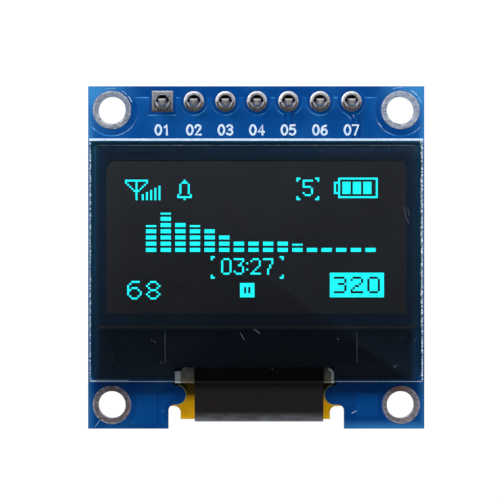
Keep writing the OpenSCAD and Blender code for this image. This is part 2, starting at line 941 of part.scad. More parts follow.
board();
for (i = [1:4])
    mount_hole_plating(i);
for (i = [1:pin_count])
    header_pad(i);
header_housing();
for (i = [1:pin_count])
    header_pin(i);
for (i = [1:pin_count])
    solder_joint(i);
foam_tape();
rear_cover_glass();
drying_sheet();
edge_seal();
light_film();
front_glass();
polarizer();
driver_chip();
ledge_coating();
flex_base();
flex_cover();
flex_solder_row();
glue_bead_left();
glue_bead_right();
regulator();
diode();
for (i = [1:8])
    capacitor(i);
for (i = [1:7])
    resistor(i);
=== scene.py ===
# %% [markdown]
# # A small graphic display module
# The real object is a thin glass display panel taped to a nearly square blue circuit board.
# A flex cable leaves the panel's lower edge, wraps through a notch in the board and is
# soldered on the back. Seven header pins stick out behind.
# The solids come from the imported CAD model, which is the fixed frame here. This script gives
# every solid its finish, and adds what is too thin for a solid: the copper under the paint,
# the white print, the lit dots, dust and scratches. Lengths below are millimetres until a
# mesh is made, and `MM` turns them into metres.

# %% Load the frame
import math
import random

import bmesh
import bpy
from mathutils import Matrix, Vector


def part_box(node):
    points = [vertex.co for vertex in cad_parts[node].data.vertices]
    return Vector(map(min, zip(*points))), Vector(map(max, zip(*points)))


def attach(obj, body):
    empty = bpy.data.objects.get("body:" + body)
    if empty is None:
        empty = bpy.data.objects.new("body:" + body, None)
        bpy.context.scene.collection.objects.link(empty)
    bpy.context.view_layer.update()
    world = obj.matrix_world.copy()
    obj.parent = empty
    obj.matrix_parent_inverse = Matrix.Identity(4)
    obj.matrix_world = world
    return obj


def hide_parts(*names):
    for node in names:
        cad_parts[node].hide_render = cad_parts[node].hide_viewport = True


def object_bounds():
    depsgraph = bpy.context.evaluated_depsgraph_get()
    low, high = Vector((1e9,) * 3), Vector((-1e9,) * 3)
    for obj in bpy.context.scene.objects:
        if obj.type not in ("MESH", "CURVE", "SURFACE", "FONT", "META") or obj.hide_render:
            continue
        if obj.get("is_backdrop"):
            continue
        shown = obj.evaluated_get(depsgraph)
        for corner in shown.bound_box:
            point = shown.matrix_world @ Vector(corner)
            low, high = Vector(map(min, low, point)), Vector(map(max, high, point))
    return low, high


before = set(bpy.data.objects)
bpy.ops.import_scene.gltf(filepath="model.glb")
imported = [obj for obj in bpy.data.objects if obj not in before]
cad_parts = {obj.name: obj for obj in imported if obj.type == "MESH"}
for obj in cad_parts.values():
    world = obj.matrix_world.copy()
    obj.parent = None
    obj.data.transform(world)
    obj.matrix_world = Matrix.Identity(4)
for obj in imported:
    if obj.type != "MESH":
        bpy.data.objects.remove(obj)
cad_low, cad_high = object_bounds()
MM = 0.001
dice = random.Random(7)
print("frame:", len(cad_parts), "nodes, box", [round(v / MM, 2) for v in (*cad_low, *cad_high)])


# %% [markdown]
# ## Reading places from the frame
# The places of the solids come from the solids themselves, so these need no fitting. `span` gives a
# solid's lowest and highest corner in millimetres, and `middle` its centre.

# %% Places of the solids
def span(node):
    """Lowest and highest corner of a solid, in millimetres."""
    low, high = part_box(node)
    return low / MM, high / MM


def middle(node):
    """Centre of a solid's box, in millimetres."""
    low, high = span(node)
    return (low + high) / 2


def names_of(name, count):
    """Names of a row of like solids."""
    return [f"{name}_{i}" for i in range(1, count + 1)]


board_low, board_high = span("board")
glass_low, glass_high = span("front_glass")
film_low, film_high = span("polarizer")
board_front = board_high.z
holes = [middle(n) for n in names_of("mount_hole_plating", 4)]
pads = [middle(n) for n in names_of("header_pad", 7)]
pad_pitch = pads[1].x - pads[0].x
print("board", tuple(round(v, 2) for v in board_high - board_low), "pad pitch", round(pad_pitch, 3))


# %% [markdown]
# ## Colours and node helpers
# Colours are written as they look on a screen, from 0 to 255, and `paint` turns them into the
# linear values that shaders use. The other helpers keep each finish short: `add` makes a node
# and fills its sockets, and `noise` gives a pattern whose scale is counted per millimetre,
# read from Object coordinates so that it stays on the piece. What these give is a `Value`,
# on which plain +, - and * work, and `calc` does the sums that have no sign of their own.

# %% Colour and node helpers
def paint(red, green, blue):
    """Linear colour from screen values between 0 and 255."""
    parts = [v / 255 for v in (red, green, blue)]
    return tuple(v / 12.92 if v <= 0.04045 else ((v + 0.055) / 1.055) ** 2.4 for v in parts)


class Value:
    """A shader value that takes part in plain sums. Each sum becomes one Math node."""

    def __init__(self, socket):
        self.socket = socket
        self.tree = socket.id_data

    def __add__(self, other):
        return calc("ADD", self, other)

    def __sub__(self, other):
        return calc("SUBTRACT", self, other)

    def __rsub__(self, other):
        return calc("SUBTRACT", other, self)

    def __mul__(self, other):
        return calc("MULTIPLY", self, other)

    def __pow__(self, other):
        return calc("POWER", self, other)

    def __abs__(self):
        return calc("ABSOLUTE", self)


def plug(tree, socket, value):
    """Links value into a socket if it comes from a node, or else writes it there."""
    if isinstance(value, Value):
        value = value.socket
    if isinstance(value, bpy.types.NodeSocket):
        tree.links.new(value, socket)
    elif socket.type == "RGBA":
        socket.default_value = (*value, 1) if len(value) == 3 else value
    else:
        socket.default_value = value


def add(tree, kind, output=0, **inputs):
    """Makes a node, fills the inputs named by words, and gives one output."""
    node = tree.nodes.new("ShaderNode" + kind)
    for name, value in inputs.items():
        plug(tree, node.inputs[name.replace("_", " ")], value)
    return node.outputs[output]


def calc(operation, *values):
    """One sum on up to three values, of which at least one is a Value."""
    tree = next(v.tree for v in values if isinstance(v, Value))
    node = tree.nodes.new("ShaderNodeMath")
    node.operation = operation
    for socket, value in zip(node.inputs, values):
        plug(tree, socket, value)
    return Value(node.outputs[0])


def place_mm(tree):
    """Object coordinates in millimetres."""
    node = tree.nodes.new("ShaderNodeVectorMath")
    node.operation = "SCALE"
    plug(tree, node.inputs["Vector"], tree.nodes.new("ShaderNodeTexCoord").outputs["Object"])
    node.inputs["Scale"].default_value = 1 / MM
    return node.outputs[0]


def along(tree, axis):
    """One coordinate in millimetres: X, Y or Z."""
    return Value(add(tree, "SeparateXYZ", "XYZ".index(axis), Vector=place_mm(tree)))


def face_way(tree, axis):
    """How far the surface faces along an axis: 1 straight along it, and -1 away from it."""
    normal = tree.nodes.new("ShaderNodeTexCoord").outputs["Normal"]
    return Value(add(tree, "SeparateXYZ", "XYZ".index(axis), Vector=normal))


def noise(tree, per_mm, detail=2.0, stretch=(1, 1, 1), roughness=0.5, shift=(0, 0, 0)):
    """Soft random pattern from 0 to 1, with so many features per millimetre."""
    spot = add(tree, "Mapping", Vector=place_mm(tree), Scale=stretch, Location=shift)
    return Value(add(tree, "TexNoise", Vector=spot, Scale=per_mm, Detail=detail, Roughness=roughness))


def ramp(value, low, high, out_low=0.0, out_high=1.0, soft=False):
    """Turns value, which runs from low to high, into out_low to out_high and stops there."""
    tree = value.tree
    node = tree.nodes.new("ShaderNodeMapRange")
    node.interpolation_type = "SMOOTHSTEP" if soft else "LINEAR"
    for socket, part in zip(node.inputs, (value, low, high, out_low, out_high)):
        plug(tree, socket, part)
    return Value(node.outputs[0])


def mix(share, first, second):
    """Blend of two colours: share 0 gives the first and 1 the second."""
    tree = share.tree
    node = tree.nodes.new("ShaderNodeMix")
    node.data_type = "RGBA"
    plug(tree, node.inputs[0], share)
    plug(tree, node.inputs[6], first)
    plug(tree, node.inputs[7], second)
    return node.outputs[2]


# %% [markdown]
# ## A finish
# A finish is one Principled shader. What is the same all over the surface is written on the
# shader's own sockets, and `vary` links only what varies over it from nodes.

# %% Finish helpers
def new_finish(name, colour, rough, **constants):
    """A material with one Principled shader. Gives the material, its tree and the shader."""
    finish = bpy.data.materials.new(name)
    finish.use_nodes = True
    tree = finish.node_tree
    shader = tree.nodes["Principled BSDF"]
    vary(shader, Base_Color=colour, Roughness=rough, **constants)
    return finish, tree, shader


def vary(shader, **inputs):
    """Writes or links shader inputs, which are named with _ for a space."""
    for name, value in inputs.items():
        plug(shader.id_data, shader.inputs[name.replace("_", " ")], value)


def relief(shader, height, depth):
    """Bump from a 0 to 1 pattern, with the depth in millimetres."""
    vary(shader, Normal=add(shader.id_data, "Bump", Height=height, Distance=depth * MM, Strength=1.0))


def blend_shaders(tree, share, first, second):
    """Blend of two shaders: share 0 gives the first and 1 the second."""
    choice = tree.nodes.new("ShaderNodeMixShader")
    for socket, value in zip(choice.inputs, (share, first, second)):
        plug(tree, socket, value)
    return choice.outputs[0]


def bare_finish(name):
    """A material without nodes, for shaders of its own."""
    finish = bpy.data.materials.new(name)
    finish.use_nodes = True
    finish.node_tree.nodes.clear()
    return finish, finish.node_tree


def dress(finish, *nodes):
    """Gives CAD solids their finish."""
    for name in nodes:
        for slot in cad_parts[name].material_slots:
            slot.material = finish
    print(f"{finish.name}: {len(nodes)} solid(s)")


# %% [markdown]
# ## Making a piece
# A piece is shaped in a bmesh, in millimetres, and `add_piece` turns it into an object at the
# origin that rides on the part's one body. Edges sharper than about 35 degrees stay crisp.

# %% Piece helper
SHARP = math.radians(35)
WELD = 0.0005


def add_piece(name, shape, finish, stands_for=(), crisp=SHARP):
    """Makes a bmesh in millimetres into a finished piece. stands_for names solids it replaces."""
    bmesh.ops.remove_doubles(shape, verts=shape.verts, dist=WELD)
    bmesh.ops.recalc_face_normals(shape, faces=shape.faces)
    bmesh.ops.scale(shape, vec=(MM, MM, MM), verts=shape.verts)
    for face in shape.faces:
        face.smooth = True
    for edge in shape.edges:
        edge.smooth = edge.calc_face_angle(0) < crisp
    mesh = bpy.data.meshes.new(name)
    shape.to_mesh(mesh)
    shape.free()
    mesh.materials.append(finish)
    piece = bpy.data.objects.new(name, mesh)
    bpy.context.scene.collection.objects.link(piece)
    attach(piece, "root")
    if stands_for:
        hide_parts(*stands_for)
    print(f"{name}: {len(mesh.polygons)} faces")
    return piece


# %% [markdown]
# ## Flat shapes with soft edges
# Copper, print and film are flat shapes a few hundredths of a millimetre thick. A filled 2-D
# curve draws each from its outline and its holes, and the curve's own bevel slopes the edge.
# Shrinking the curve by the bevel's width keeps the outline where it was drawn.

# %% Flat shape helpers
def box_outline(x0, y0, x1, y1):
    """Corners of a rectangle."""
    return [(x0, y0), (x1, y0), (x1, y1), (x0, y1)]


def arc(centre, radius, start, end, count=32):
    """Points on an arc, with its angles in degrees."""
    steps = [math.radians(start + (end - start) * k / count) for k in range(count + 1)]
    return [(centre[0] + radius * math.cos(a), centre[1] + radius * math.sin(a)) for a in steps]


def ring_outline(centre, radius, count=72):
    """Points on a whole circle."""
    return arc(centre, radius, 0, 360 - 360 / count, count - 1)


def drawn(curve):
    """The bmesh that a curve draws. The curve itself is removed."""
    drawing = bpy.data.objects.new("drawing", curve)
    bpy.context.scene.collection.objects.link(drawing)
    mesh = bpy.data.meshes.new_from_object(drawing.evaluated_get(bpy.context.evaluated_depsgraph_get()))
    shape = bmesh.new()
    shape.from_mesh(mesh)
    bpy.data.objects.remove(drawing)
    bpy.data.curves.remove(curve)
    bpy.data.meshes.remove(mesh)
    return shape


def raised(shape, height):
    """Moves a shape up."""
    bmesh.ops.translate(shape, vec=(0, 0, height), verts=shape.verts)
    return shape


def flat_shape(outlines, low, high, edge=0.0):
    """A bmesh between two heights from closed outlines; an outline inside another is a hole."""
    curve = bpy.data.curves.new("outline", "CURVE")
    curve.dimensions = "2D"
    curve.fill_mode = "BOTH"
    curve.extrude = (high - low) / 2 - min(edge, (high - low) / 2)
    curve.bevel_depth = edge
    curve.bevel_resolution = 0 if curve.extrude == 0 else 1
    curve.offset = -edge
    for outline in outlines:
        line = curve.splines.new("POLY")
        line.points.add(len(outline) - 1)
        line.use_cyclic_u = True
        for point, (x, y) in zip(line.points, outline):
            point.co = (x, y, 0, 1)
    shape = drawn(curve)
    if edge > (high - low) / 2:
        bmesh.ops.scale(shape, vec=(1, 1, (high - low) / 2 / edge), verts=shape.verts)
    return raised(shape, (low + high) / 2)


def joined(*shapes):
    """Several bmeshes put into one."""
    whole = bmesh.new()
    for shape in shapes:
        mesh = bpy.data.meshes.new("part")
        shape.to_mesh(mesh)
        shape.free()
        whole.from_mesh(mesh)
        bpy.data.meshes.remove(mesh)
    return whole


# %% [markdown]
# ## Camera
# The module is seen from straight above, from about 23 cm, so that the screen faces the view.

# %% Camera
camera_data = bpy.data.cameras.new("camera")
camera_data.lens = 205.5
camera_data.sensor_width = 36
camera_data.clip_start = 0.01
camera = bpy.data.objects.new("camera", camera_data)
camera.location = Vector((-0.5, 0.6, 231.2)) * MM
bpy.context.scene.collection.objects.link(camera)
bpy.context.scene.camera = camera
bpy.context.scene.view_settings.view_transform = "Standard"
print("camera height above the board, mm:", round(camera.location.z / MM - board_front, 1))

# %% [markdown]
# ## Floor and surroundings
# The floor lies just under the pin ends. It is white to the view and in mirrors, and keeps a
# faint shadow, because a tenth of its light comes from a plain lit surface. For soft light it
# is an ordinary pale floor. The view sees the room plain white. Mirrors and soft light see it
# bright round the horizon and dark overhead, which is what lets the glass and the black films
# stay dark when seen straight on.

# %% Floor and room
floor_shape = bmesh.new()
bmesh.ops.create_grid(floor_shape, x_segments=1, y_segments=1, size=1.5)
floor_mesh = bpy.data.meshes.new("floor")
floor_shape.to_mesh(floor_mesh)
floor_shape.free()
floor = bpy.data.objects.new("floor", floor_mesh)
FLOOR_GAP = 0.05
floor.location.z = cad_low.z - FLOOR_GAP * MM
bpy.context.scene.collection.objects.link(floor)
floor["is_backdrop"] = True


def seen_rays(tree):
    """1 for rays from the view, in mirrors and through glass, and 0 for soft light."""
    path = tree.nodes.new("ShaderNodeLightPath").outputs
    seen = calc("MAXIMUM", Value(path["Is Camera Ray"]), path["Is Glossy Ray"])
    return calc("MAXIMUM", seen, path["Is Transmission Ray"])


def floor_finish():
    finish, tree = bare_finish("pale_floor")
    plain = add(tree, "BsdfDiffuse", Color=paint(226, 226, 226))
    shadow_keeper = add(tree, "BsdfDiffuse", Color=(0.12, 0.12, 0.12))
    white = add(tree, "Emission", Color=(1, 1, 1), Strength=0.97)
    lit = add(tree, "AddShader")
    tree.links.new(white, lit.node.inputs[0])
    tree.links.new(shadow_keeper, lit.node.inputs[1])
    surface = tree.nodes.new("ShaderNodeOutputMaterial")
    tree.links.new(blend_shaders(tree, seen_rays(tree), plain, lit), surface.inputs["Surface"])
    return finish


floor_mesh.materials.append(floor_finish())


def light_room():
    room = bpy.data.worlds.new("room")
    bpy.context.scene.world = room
    room.use_nodes = True
    tree = room.node_tree
    tree.nodes.clear()
    direction = tree.nodes.new("ShaderNodeTexCoord").outputs["Generated"]
    height = Value(add(tree, "SeparateXYZ", 2, Vector=direction))
    glow = ramp(height, 0.15, 0.97, 0.9, 0.05, soft=True)
    shade = add(tree, "CombineColor", Red=glow, Green=glow, Blue=glow * 1.02)
    path = tree.nodes.new("ShaderNodeLightPath").outputs
    seen = calc("MAXIMUM", Value(path["Is Camera Ray"]), path["Is Transmission Ray"])
    colour = mix(seen, shade, (1, 1, 1))
    background = add(tree, "Background", Color=colour, Strength=1.0)
    output = tree.nodes.new("ShaderNodeOutputWorld")
    tree.links.new(background, output.inputs["Surface"])


light_room()
print("floor height, mm:", round(floor.location.z / MM, 2))

# %% [markdown]
# ## Lamps
# Two large soft boxes hang beyond the header edge, left and right, and a weak one fills from
# the foot's side. A small one lights the header from higher up. It is left out of mirrors,
# because its image would lie on the flat glass.

# %% Lamps
def soft_box(name, place, size, watts):
    """A square lamp aimed at the middle of the board."""
    data = bpy.data.lights.new(name, "AREA")
    data.shape = "SQUARE"
    data.size = size * MM
    data.energy = watts
    lamp = bpy.data.objects.new(name, data)
    lamp.location = Vector(place) * MM
    lamp.rotation_euler = Vector(place).to_track_quat("Z", "Y").to_euler()
    lamp.visible_camera = False
    bpy.context.scene.collection.objects.link(lamp)
    return lamp


soft_box("key_left", (-70, 95, 100), 80, 0.15)
soft_box("key_right", (75, 75, 95), 70, 0.08)
soft_box("fill_low", (10, -150, 90), 100, 0.04)
soft_box("top_light", (0, 105, 150), 60, 0.05).visible_glossy = False

# %% [markdown]
# ## The board
# The board is glass-fibre laminate under a blue lacquer, the solder mask. Where no copper lies
# underneath, the lacquer looks deeper. Along the rim it is painted paler, a painted light for
# the light that gets in from the side, and the upper corners get a painted highlight. On the
# upper half, copper edges that face the header edge get a painted highlight, and towards the
# foot the lacquer gets painted shade. The cut edges show the laminate itself. A faint weave
# stands in the lacquer. One finish does all of that by position: the face's own direction
# picks lacquer or laminate.

# %% Blue lacquer on the laminate
def weave(tree, pitch=0.42):
    """Two crossed waves: the glass cloth under the lacquer."""
    spot = place_mm(tree)
    waves = []
    for direction in ("X", "Y"):
        node = tree.nodes.new("ShaderNodeTexWave")
        node.bands_direction = direction
        plug(tree, node.inputs["Vector"], spot)
        node.inputs["Scale"].default_value = math.pi / 10 / pitch
        node.inputs["Distortion"].default_value = 0.6
        waves.append(Value(node.outputs["Fac"]))
    return waves[0] * waves[1]


def lacquer_finish(name, deep, pale):
    finish, tree, shader = new_finish(name, deep, 0.22, Specular_IOR_Level=0.22)
    y = along(tree, "Y")
    gap_x = board_high.x - abs(along(tree, "X"))
    # Painted light: the lacquer is painted paler along the rim, for light that gets in from the side, more
    # towards the header edge and on the foot's right.
    side = ramp(gap_x, 0.7, 0.0, 0.0, ramp(y, -8.0, 4.0, 0.26, 0.48), soft=True)
    foot = ramp(y + board_high.y, 0.9, 0.0, 0.0, ramp(along(tree, "X"), 3.0, 9.0, 0.05, 0.42), soft=True)
    rim = calc("MAXIMUM", side, foot)
    # Painted highlight: the two upper corners glow paler, for the soft boxes' reflection.
    up = (board_high.y - y) ** 2.0
    corner = calc("SQRT", gap_x ** 2.0 + up)
    glow = ramp(corner, 4.5, 0.2, 0.0, 0.64, soft=True)
    patchy = ramp(noise(tree, 0.35, 3.0), 0.3, 0.7, -0.06, 0.08)
    facing = abs(face_way(tree, "Z"))
    # Painted highlight: on the upper half, copper edges that face the header edge are painted paler, in
    # broken lines.
    slope = ramp(face_way(tree, "Y") * ramp(facing, 0.5, 0.7), 0.1, 0.36)
    broken = ramp(noise(tree, 0.8, 3.0), 0.44, 0.6, 0.05, ramp(y, -2.0, 9.0, 0.0, 0.7))
    slope = slope * (broken * ramp(y, -2.0, 0.0))
    share = calc("MAXIMUM", rim, glow) + slope + patchy
    # Painted shade: the lacquer is darker from under the glass's lower edge down to the board's foot.
    lacquer = mix(share, mix(ramp(y, -8.5, -10.5, 0.0, 0.3), deep, paint(0, 30, 66)), pale)
    layers = noise(tree, 9.0, 2.0, stretch=(0.4, 0.4, 3.0))
    laminate = mix(layers, paint(98, 104, 62), paint(150, 146, 96))
    vary(shader,
         Base_Color=mix(ramp(facing, 0.2, 0.4), laminate, lacquer),
         Roughness=ramp(noise(tree, 1.8, 4.0), 0.3, 0.7, 0.16, 0.26))
    height = weave(tree) + noise(tree, 2.2, 3.0) * 1.5
    relief(shader, height, 0.004)
    return finish


LAMINATE_BLUE = paint(3, 62, 129)
COPPER_BLUE = paint(6, 73, 144)
# The pale blue of all the painted light on the lacquer.
PAINTED_LIGHT_BLUE = paint(66, 148, 212)
board_finish = lacquer_finish("blue_lacquer", LAMINATE_BLUE, PAINTED_LIGHT_BLUE)
dress(board_finish, "board")

# %% [markdown]
# ## Copper under the lacquer
# Copper is about 0.035 mm thick, and the lacquer follows it, so that a sheet of copper shows
# as a slightly raised and paler field. It keeps clear of the mounting holes, the pads and the
# tracks, and its sloping edges catch the light as thin bright lines, which on the upper half
# the lacquer's finish strengthens with a painted highlight.

# %% Copper field beside the header
COPPER = 0.035
SUNK = 0.004
SLOPE = 0.08
CRISP = math.radians(15)
RIM_GAP = 0.3
HOLE_CLEAR = 2.04
PAD_CLEAR = 1.08
copper_top = board_front + COPPER
copper_finish = lacquer_finish("lacquer_over_copper", COPPER_BLUE, PAINTED_LIGHT_BLUE)
field_x = board_high.x - RIM_GAP
field_y = board_high.y - RIM_GAP


def hole_bite(hole, end_rise):
    """Arc that keeps copper clear of a corner hole, from the board's side to end_rise above it."""
    side, end = math.copysign(1, hole.x), math.copysign(1, hole.y)
    start = -math.degrees(math.acos((field_x - abs(hole.x)) / HOLE_CLEAR))
    sweep = arc((0, 0), HOLE_CLEAR, start, -180 - math.degrees(math.asin(end_rise / HOLE_CLEAR)))
    return [(hole.x + side * u, hole.y + end * v) for u, v in sweep]


field_foot = glass_high.y + 0.05
field_top = pads[0].y + 0.34
lift = math.degrees(math.asin((field_top - pads[0].y) / PAD_CLEAR))
CHANNEL = 0.37
turn = math.degrees(math.asin(CHANNEL / PAD_CLEAR))
BEND_X, BEND_Y = 0.40, 11.15


def pad_bite(i, start=lift, end=-180 - lift):
    """Arc under a pad, from its right to its left."""
    return arc((pads[i].x, pads[i].y), PAD_CLEAR, start, end)


square_bite = [
    (pads[0].x + PAD_CLEAR, field_top), (pads[0].x + PAD_CLEAR, pads[0].y - PAD_CLEAR),
    (pads[0].x - PAD_CLEAR, pads[0].y - PAD_CLEAR), (pads[0].x - PAD_CLEAR, field_top),
]
left_part = [(-field_x, field_foot), (pads[4].x - CHANNEL, field_foot)]
left_part += pad_bite(4, -90 - turn) + pad_bite(3) + pad_bite(2) + pad_bite(1) + square_bite
left_part += hole_bite(holes[0], field_top - holes[0].y)[::-1]
bend_x = pads[6].x + BEND_X
middle_part = [(pads[4].x + CHANNEL, field_foot), (bend_x - CHANNEL, field_foot), (bend_x - CHANNEL, BEND_Y)]
middle_part += pad_bite(6, -90 - turn) + pad_bite(5) + pad_bite(4, lift, -90 + turn)
right_part = [(bend_x + CHANNEL, field_foot), (field_x, field_foot)]
right_part += hole_bite(holes[1], field_top - holes[1].y)
right_part += pad_bite(6, lift, -90 + turn) + [(bend_x + CHANNEL, BEND_Y)]


def copper_shape(outline, slope=SLOPE):
    """A copper field with sloping edges; its lower half lies in the board."""
    return flat_shape([outline], board_front - COPPER - SUNK, copper_top, slope)


fields = [copper_shape(part) for part in (left_part, middle_part, right_part)]
add_piece("copper_field_header", joined(*fields), copper_finish, crisp=CRISP)

# %% Copper fields at the foot
LEFT_FIELD_X = -8.0
RIGHT_FIELD_X = 8.04
FOOT_TOP = -10.9
corner_rise = field_y - abs(holes[2].y)
foot_bite = [p for p in hole_bite(holes[2], corner_rise) if p[1] < FOOT_TOP and p[0] > holes[2].x]
left_outline = [(LEFT_FIELD_X, FOOT_TOP)] + foot_bite + [(LEFT_FIELD_X, -field_y)]
beside_notch = [(-7.85, FOOT_TOP), (-6.5, FOOT_TOP), (-7.3, -11.9), (-7.3, -field_y), (-7.85, -field_y)]
right_outline = box_outline(RIGHT_FIELD_X, -12.85, 9.81, FOOT_TOP)
fields = [copper_shape(part, 0.16) for part in (left_outline, beside_notch, right_outline)]
add_piece("copper_field_foot", joined(*fields), copper_finish, crisp=CRISP)

# %% [markdown]
# ## Tracks
# Tracks are narrow copper strips under the same lacquer. On the header side one runs
# straight down from the fifth pad and one bends down from the seventh.

# %% Copper tracks
TRACK = 0.24
TRACK_SLOPE = 0.05


def track(points, width=TRACK):
    """A copper strip with mitred bends, along points in millimetres."""
    shape = bmesh.new()
    sides = []
    for k, spot in enumerate(points):
        here = Vector((*spot, 0))
        before = Vector((*points[max(k - 1, 0)], 0))
        after = Vector((*points[min(k + 1, len(points) - 1)], 0))
        into, out = (here - before), (after - here)
        way = (into.normalized() + out.normalized()).normalized()
        stretch = width / 2 / max(0.3, way.dot((into if into.length else out).normalized()))
        across = Vector((-way.y, way.x, 0)) * stretch
        sides.append([shape.verts.new(here + across), shape.verts.new(here - across)])
    for (a, b), (c, d) in zip(sides, sides[1:]):
        shape.faces.new((a, b, d, c))
    flat = shape.faces[:]
    bmesh.ops.inset_region(shape, faces=flat, thickness=TRACK_SLOPE, use_even_offset=True,
                           use_boundary=True)
    bmesh.ops.translate(shape, vec=(0, 0, copper_top), verts=list({v for f in flat for v in f.verts}))
    low = [v for v in shape.verts if v.co.z == 0]
    bmesh.ops.translate(shape, vec=(0, 0, board_front - SUNK), verts=low)
    return shape


straight = track([(pads[4].x, pads[4].y), (pads[4].x, field_foot)])
bent = track([(pads[6].x, pads[6].y), (bend_x, BEND_Y), (bend_x, field_foot)])
add_piece("tracks_header", joined(straight, bent), copper_finish, crisp=CRISP)

# %% [markdown]
# ## White print
# Ink is screened on the lacquer in lines of 0.1 to 0.2 mm. A frame marks where the glass sits,
# and each pin gets a plain number. A digit is drawn as pen strokes: curves with a round
# section, flattened to the ink's thickness.

# %% Ink finish
def ink_finish():
    finish, tree, shader = new_finish("white_ink", paint(214, 230, 250), 0.55)
    blotch = noise(tree, 7.0, 3.0)
    vary(shader,
         Base_Color=mix(ramp(blotch, 0.35, 0.65), paint(184, 212, 250), paint(224, 240, 255)),
         Roughness=ramp(blotch, 0.3, 0.7, 0.45, 0.65))
    relief(shader, noise(tree, 12.0), 0.004)
    return finish


ink = ink_finish()
INK = 0.018
ink_low = board_front + 0.002
line_low, line_high = glass_high.y + 0.02, glass_high.y + 0.23
frame_foot = glass_low.y - 0.11
INK_EDGE = 0.006

# %% Frame round the glass
notch_low, notch_high = span("glue_bead_left")[0].x, span("glue_bead_right")[1].x
BARS = (
    (-board_high.x + 0.1, line_low, board_high.x - 0.1, line_high, copper_top + INK),
    (-board_high.x + 0.2, frame_foot, notch_low, frame_foot + 0.09, ink_low + INK),
    (notch_high, frame_foot, board_high.x - 0.2, frame_foot + 0.09, ink_low + INK),
    (-13.3, frame_foot + 0.02, -10.3, frame_foot + 0.14, ink_low + INK * 1.2),
)
bars = [flat_shape([box_outline(*box)], ink_low, top, INK_EDGE) for *box, top in BARS]
add_piece("print_frame", joined(*bars), ink)

# %% Pin numbers
DIGIT_STROKES = {
    "0": [(True, [(0.3, 1), (0.04, 0.72), (0.04, 0.28), (0.3, 0), (0.56, 0.28), (0.56, 0.72), (0.3, 1)])],
    "1": [(False, [(0.12, 0.78), (0.34, 1), (0.34, 0)])],
    "2": [(True, [(0.04, 0.76), (0.12, 0.94), (0.3, 1), (0.5, 0.93), (0.56, 0.74), (0.46, 0.52)]),
          (False, [(0.46, 0.52), (0.03, 0), (0.6, 0)])],
    "3": [(True, [(0.04, 0.86), (0.28, 1), (0.54, 0.88), (0.52, 0.64), (0.26, 0.53)]),
          (True, [(0.26, 0.53), (0.54, 0.42), (0.57, 0.16), (0.3, 0), (0.02, 0.13)])],
    "4": [(False, [(0.46, 0), (0.46, 1), (0.0, 0.3), (0.62, 0.3)])],
    "5": [(False, [(0.54, 1), (0.1, 1), (0.06, 0.56)]),
          (True, [(0.06, 0.56), (0.3, 0.63), (0.54, 0.5), (0.56, 0.2), (0.32, 0), (0.02, 0.1)])],
    "6": [(True, [(0.5, 0.96), (0.2, 0.82), (0.04, 0.45), (0.08, 0.12), (0.3, 0), (0.54, 0.12), (0.55, 0.42),
                  (0.34, 0.56), (0.08, 0.42)])],
    "7": [(False, [(0.0, 1), (0.6, 1), (0.22, 0)])],
}


def pen_stroke(points, width, smooth):
    """A stroke with a round section, as a bmesh."""
    curve = bpy.data.curves.new("stroke", "CURVE")
    curve.dimensions = "3D"
    curve.bevel_depth = width / 2
    curve.bevel_resolution = 2
    curve.use_fill_caps = True
    curve.resolution_u = 5
    line = curve.splines.new("BEZIER")
    closed = points[0] == points[-1]
    line.use_cyclic_u = closed
    points = points[:-1] if closed else points
    line.bezier_points.add(len(points) - 1)
    for point, (x, y) in zip(line.bezier_points, points):
        point.co = (x, y, 0)
        point.handle_left_type = point.handle_right_type = "AUTO" if smooth else "VECTOR"
    shape = drawn(curve)
    for x, y in () if closed else (points[0], points[-1]):
        bmesh.ops.create_uvsphere(shape, u_segments=10, v_segments=6, radius=width / 2,
                                  matrix=Matrix.Translation((x, y, 0)))
    return shape


def printed_number(text, centre, cap, pen, level):
    """Digits in pen strokes round a centre, flattened onto a level."""
    advance = 0.86 * cap
    start = centre[0] - (advance * (len(text) - 1) + 0.6 * cap) / 2
    strokes = []
    for k, digit in enumerate(text):
        for smooth, points in DIGIT_STROKES[digit]:
            placed = [(start + k * advance + x * cap, centre[1] + (y - 0.5) * cap) for x, y in points]
            strokes.append(pen_stroke(placed, pen, smooth))
    shape = joined(*strokes)
    bmesh.ops.scale(shape, vec=(1, 1, 2 * INK / pen), verts=shape.verts)
    return raised(shape, level)


NUMBER_Y = 10.27
numbers = [printed_number(f"0{i + 1}", (pad.x, NUMBER_Y), 0.76, 0.17, copper_top)
           for i, pad in enumerate(pads)]
add_piece("pin_numbers", joined(*numbers), ink)

# %% [markdown]
# ## Tin on the rings and pads
# The copper rings were dipped in solder, which leaves a grey coat with fine grain and with
# streaks where it was wiped. Streaks come from noise stretched one way, and drive the
# roughness, the colour and a shallow bump. Towards the foot the coat is thin and warmer.
# Over that lie painted highlights on the rims of the rings and pads, and painted shade on
# the left and lower rings and on the pads' lower sides and outer edges.

# %% Tin finishes
def reach_from(tree, x, y):
    """Distance from the origin of two already shifted coordinates."""
    squares = [abs(v) ** 2.0 for v in (x, y)]
    return calc("SQRT", calc("ADD", *squares))


def hole_reach(tree):
    """Distance from the nearest mounting hole, which all lie at one |X| and |Y|."""
    out = [abs(along(tree, axis)) - abs(value)
           for axis, value in (("X", holes[0].x), ("Y", holes[0].y))]
    return reach_from(tree, *out)


def pad_place(tree):
    """X and Y from the middle of the nearest pad, and the distance from it."""
    half = pad_pitch / 2
    x = calc("WRAP", along(tree, "X") - pads[0].x, half, -half)
    y = along(tree, "Y") - pads[0].y
    return x, y, reach_from(tree, x, y)


